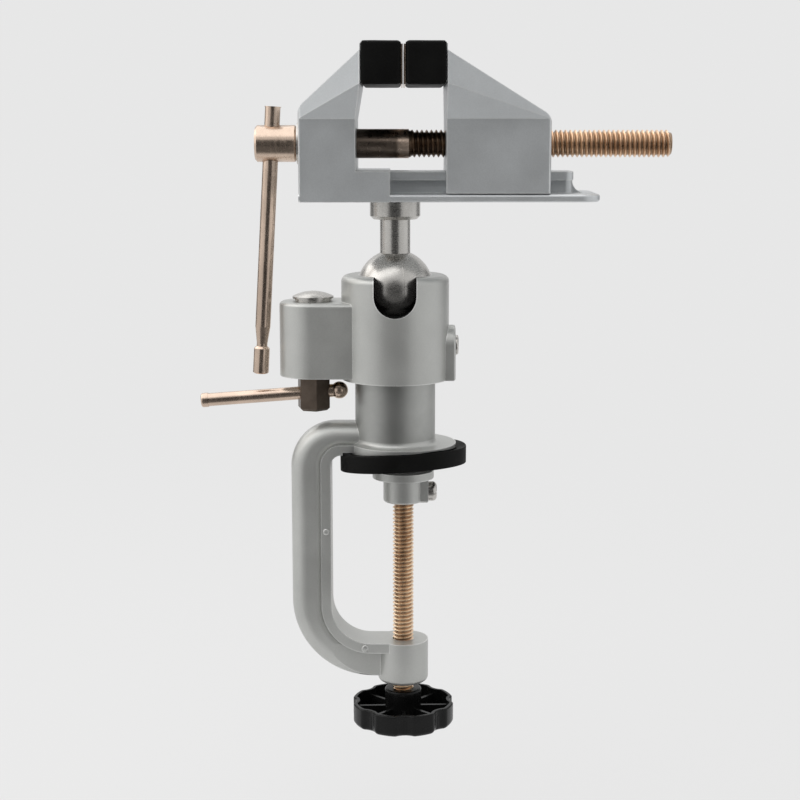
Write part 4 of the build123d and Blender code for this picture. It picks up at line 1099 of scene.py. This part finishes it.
class OBJECT_OT_ball_vise_stage(bpy.types.Operator):
    """Floor, background, soft lamps, reflected cards and the camera"""

    bl_idname = "object.ball_vise_stage"
    bl_label = "Stage"

    lamps_aim = (0.0, 0.0, 0.03)
    lamps = (                       # name, place, width, height, watts and colour
        ("lamp_left", (-0.90, 0.14, 0.58), 1.25, 1.0, 2.6, (1.0, 0.965, 0.92)),
        ("lamp_right", (0.95, 0.16, 0.36), 1.25, 1.0, 0.5, (0.94, 0.97, 1.0)),
        ("lamp_top", (-0.45, 0.05, 1.0), 2.2, 1.8, 11.5, (1.0, 1.0, 1.0)),
    )
    bright_side = (-0.35, 0.28, 0.89)       # where the room's light is strongest
    room_light = (0.36, 0.95)               # the room's darkest and brightest level
    floor_colour_share = 0.86

    def execute(self, context):
        stage = context.scene.ball_vise_stage
        self.background(stage.background)
        self.floor(stage.background, stage.floor_drop)
        for name, place, width, height, watts, colour in self.lamps:
            soft_box(name, place, self.lamps_aim, width, height, watts, colour)
        self.cards()
        self.camera(context.scene, stage)
        context.scene.view_settings.view_transform = "Standard"
        return {"FINISHED"}

    def cards(self):
        """A dark table and front, and grey sides, as polished metal shows a room."""
        table_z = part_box("knob")[0].z + 0.4 * MM
        for name, place, facing, width, height, grey in (
            ("card_table", (-0.02, -0.43, table_z), (0.0, 0.0, 1.0), 0.80, 0.72, 0.10),
            ("card_front", (-0.02, -0.78, 0.10), (0.0, 1.0, 0.0), 1.00, 0.84, 0.07),
            ("card_side", (-0.95, 0.75, 0.15), (0.9, -0.8, 0.0), 0.80, 1.00, 0.20),
            ("card_side", (0.95, 0.75, 0.15), (-0.9, -0.8, 0.0), 0.80, 1.00, 0.20),
        ):
            reflected_card(name, place, facing, width, height, (grey, grey, grey))

    def camera(self, scene, stage):
        camera = bpy.data.cameras.new("camera")
        camera.lens = stage.lens
        camera.sensor_width = 36.0
        camera.clip_start = 0.01
        camera.clip_end = 50.0
        obj = bpy.data.objects.new("camera", camera)
        scene.collection.objects.link(obj)
        obj.location = stage.camera_place
        obj.rotation_euler = (pi / 2 - stage.camera_dip, 0.0, 0.0)
        scene.camera = obj

    def background(self, grey):
        """The room's soft light, stronger from one side, and the pale background seen."""
        world = bpy.data.worlds.new("room")
        bpy.context.scene.world = world
        world.use_nodes = True
        nodes, links = world.node_tree.nodes, world.node_tree.links
        nodes.clear()
        room = nodes.new("ShaderNodeBackground")
        direction = nodes.new("ShaderNodeTexCoord")
        towards = nodes.new("ShaderNodeVectorMath")
        towards.operation = "DOT_PRODUCT"
        towards.inputs[1].default_value = self.bright_side
        links.new(direction.outputs["Generated"], towards.inputs[0])
        level = nodes.new("ShaderNodeMapRange")
        level.inputs["From Min"].default_value = -0.2
        level.inputs["From Max"].default_value = 0.8
        level.inputs["To Min"].default_value = self.room_light[0]
        level.inputs["To Max"].default_value = self.room_light[1]
        links.new(towards.outputs["Value"], level.inputs["Value"])
        links.new(level.outputs["Result"], room.inputs["Color"])
        seen = nodes.new("ShaderNodeBackground")
        seen.inputs["Color"].default_value = (grey, grey, grey, 1.0)
        mix = nodes.new("ShaderNodeMixShader")
        links.new(straight_rays(nodes, links), mix.inputs["Fac"])
        links.new(room.outputs["Background"], mix.inputs[1])
        links.new(seen.outputs["Background"], mix.inputs[2])
        output = nodes.new("ShaderNodeOutputWorld")
        links.new(mix.outputs["Shader"], output.inputs["Surface"])

    def floor(self, grey, drop):
        """A pale floor under the knob's lowest place that fades into the background."""
        deselect()
        bpy.ops.mesh.primitive_circle_add(
            vertices=96, radius=6.0, fill_type="NGON",
            location=(0.0, 0.0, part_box("knob")[0].z - drop))
        floor = newest("floor")
        settle(floor)
        made = Finish("floor")
        lit = made.nodes.new("ShaderNodeBsdfDiffuse")
        lit_grey = grey * self.floor_colour_share
        lit.inputs["Color"].default_value = (lit_grey, lit_grey, lit_grey, 1.0)
        even = made.nodes.new("ShaderNodeEmission")
        even.inputs["Color"].default_value = (grey, grey, grey, 1.0)
        length = made.nodes.new("ShaderNodeVectorMath")
        length.operation = "LENGTH"
        made.link(made.coordinates, length.inputs[0])
        near, far = 0.15, 0.9       # where the fade runs, away from the origin
        fade = made.between(length.outputs["Value"], 0.75, 1.0, near, far)
        seen = straight_rays(made.nodes, made.links)
        mix = made.nodes.new("ShaderNodeMixShader")
        made.link(made.math("MULTIPLY", seen, fade), mix.inputs["Fac"])
        made.link(lit.outputs["BSDF"], mix.inputs[1])
        made.link(even.outputs["Emission"], mix.inputs[2])
        made.link(mix.outputs["Shader"], made.nodes["Material Output"].inputs["Surface"])
        made.nodes.remove(made.shader)
        floor.data.materials.append(made.material)


# ---- Panel and registration ------------------------------------------------------------

OPERATORS = (
    OBJECT_OT_ball_vise_finishes,
    OBJECT_OT_ball_vise_castings,
    OBJECT_OT_ball_vise_lead_screw,
    OBJECT_OT_ball_vise_clamp_screw,
    OBJECT_OT_ball_vise_bench_pad,
    OBJECT_OT_ball_vise_jaw_covers,
    OBJECT_OT_ball_vise_marks,
    OBJECT_OT_ball_vise_stage,
)
GROUPS = (BallViseSizes, BallViseFinishes, BallViseStage)


class VIEW3D_PT_ball_vise(bpy.types.Panel):
    """Ball vise pieces, sizes and colours"""

    bl_idname = "VIEW3D_PT_ball_vise"
    bl_label = "Ball vise"
    bl_space_type = "VIEW_3D"
    bl_region_type = "UI"
    bl_category = "Ball vise"

    def draw(self, context):
        layout = self.layout
        scene = context.scene
        for group in (scene.ball_vise_sizes, scene.ball_vise_finishes,
                      scene.ball_vise_stage):
            column = layout.column()
            for name in group.bl_rna.properties.keys():
                if name not in ("rna_type", "name"):
                    column.prop(group, name)
        for operator in OPERATORS:
            layout.operator(operator.bl_idname)


def register():
    for group in (*GROUPS, *OPERATORS, VIEW3D_PT_ball_vise):
        bpy.utils.register_class(group)
    bpy.types.Scene.ball_vise_sizes = bpy.props.PointerProperty(type=BallViseSizes)
    bpy.types.Scene.ball_vise_finishes = bpy.props.PointerProperty(type=BallViseFinishes)
    bpy.types.Scene.ball_vise_stage = bpy.props.PointerProperty(type=BallViseStage)


def unregister():
    del bpy.types.Scene.ball_vise_stage
    del bpy.types.Scene.ball_vise_finishes
    del bpy.types.Scene.ball_vise_sizes
    for group in (VIEW3D_PT_ball_vise, *OPERATORS, *GROUPS):
        bpy.utils.unregister_class(group)


def main():
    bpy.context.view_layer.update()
    register()
    for operator in OPERATORS:
        category, name = operator.bl_idname.split(".")
        getattr(getattr(bpy.ops, category), name)()


if __name__ == "__main__":
    main()
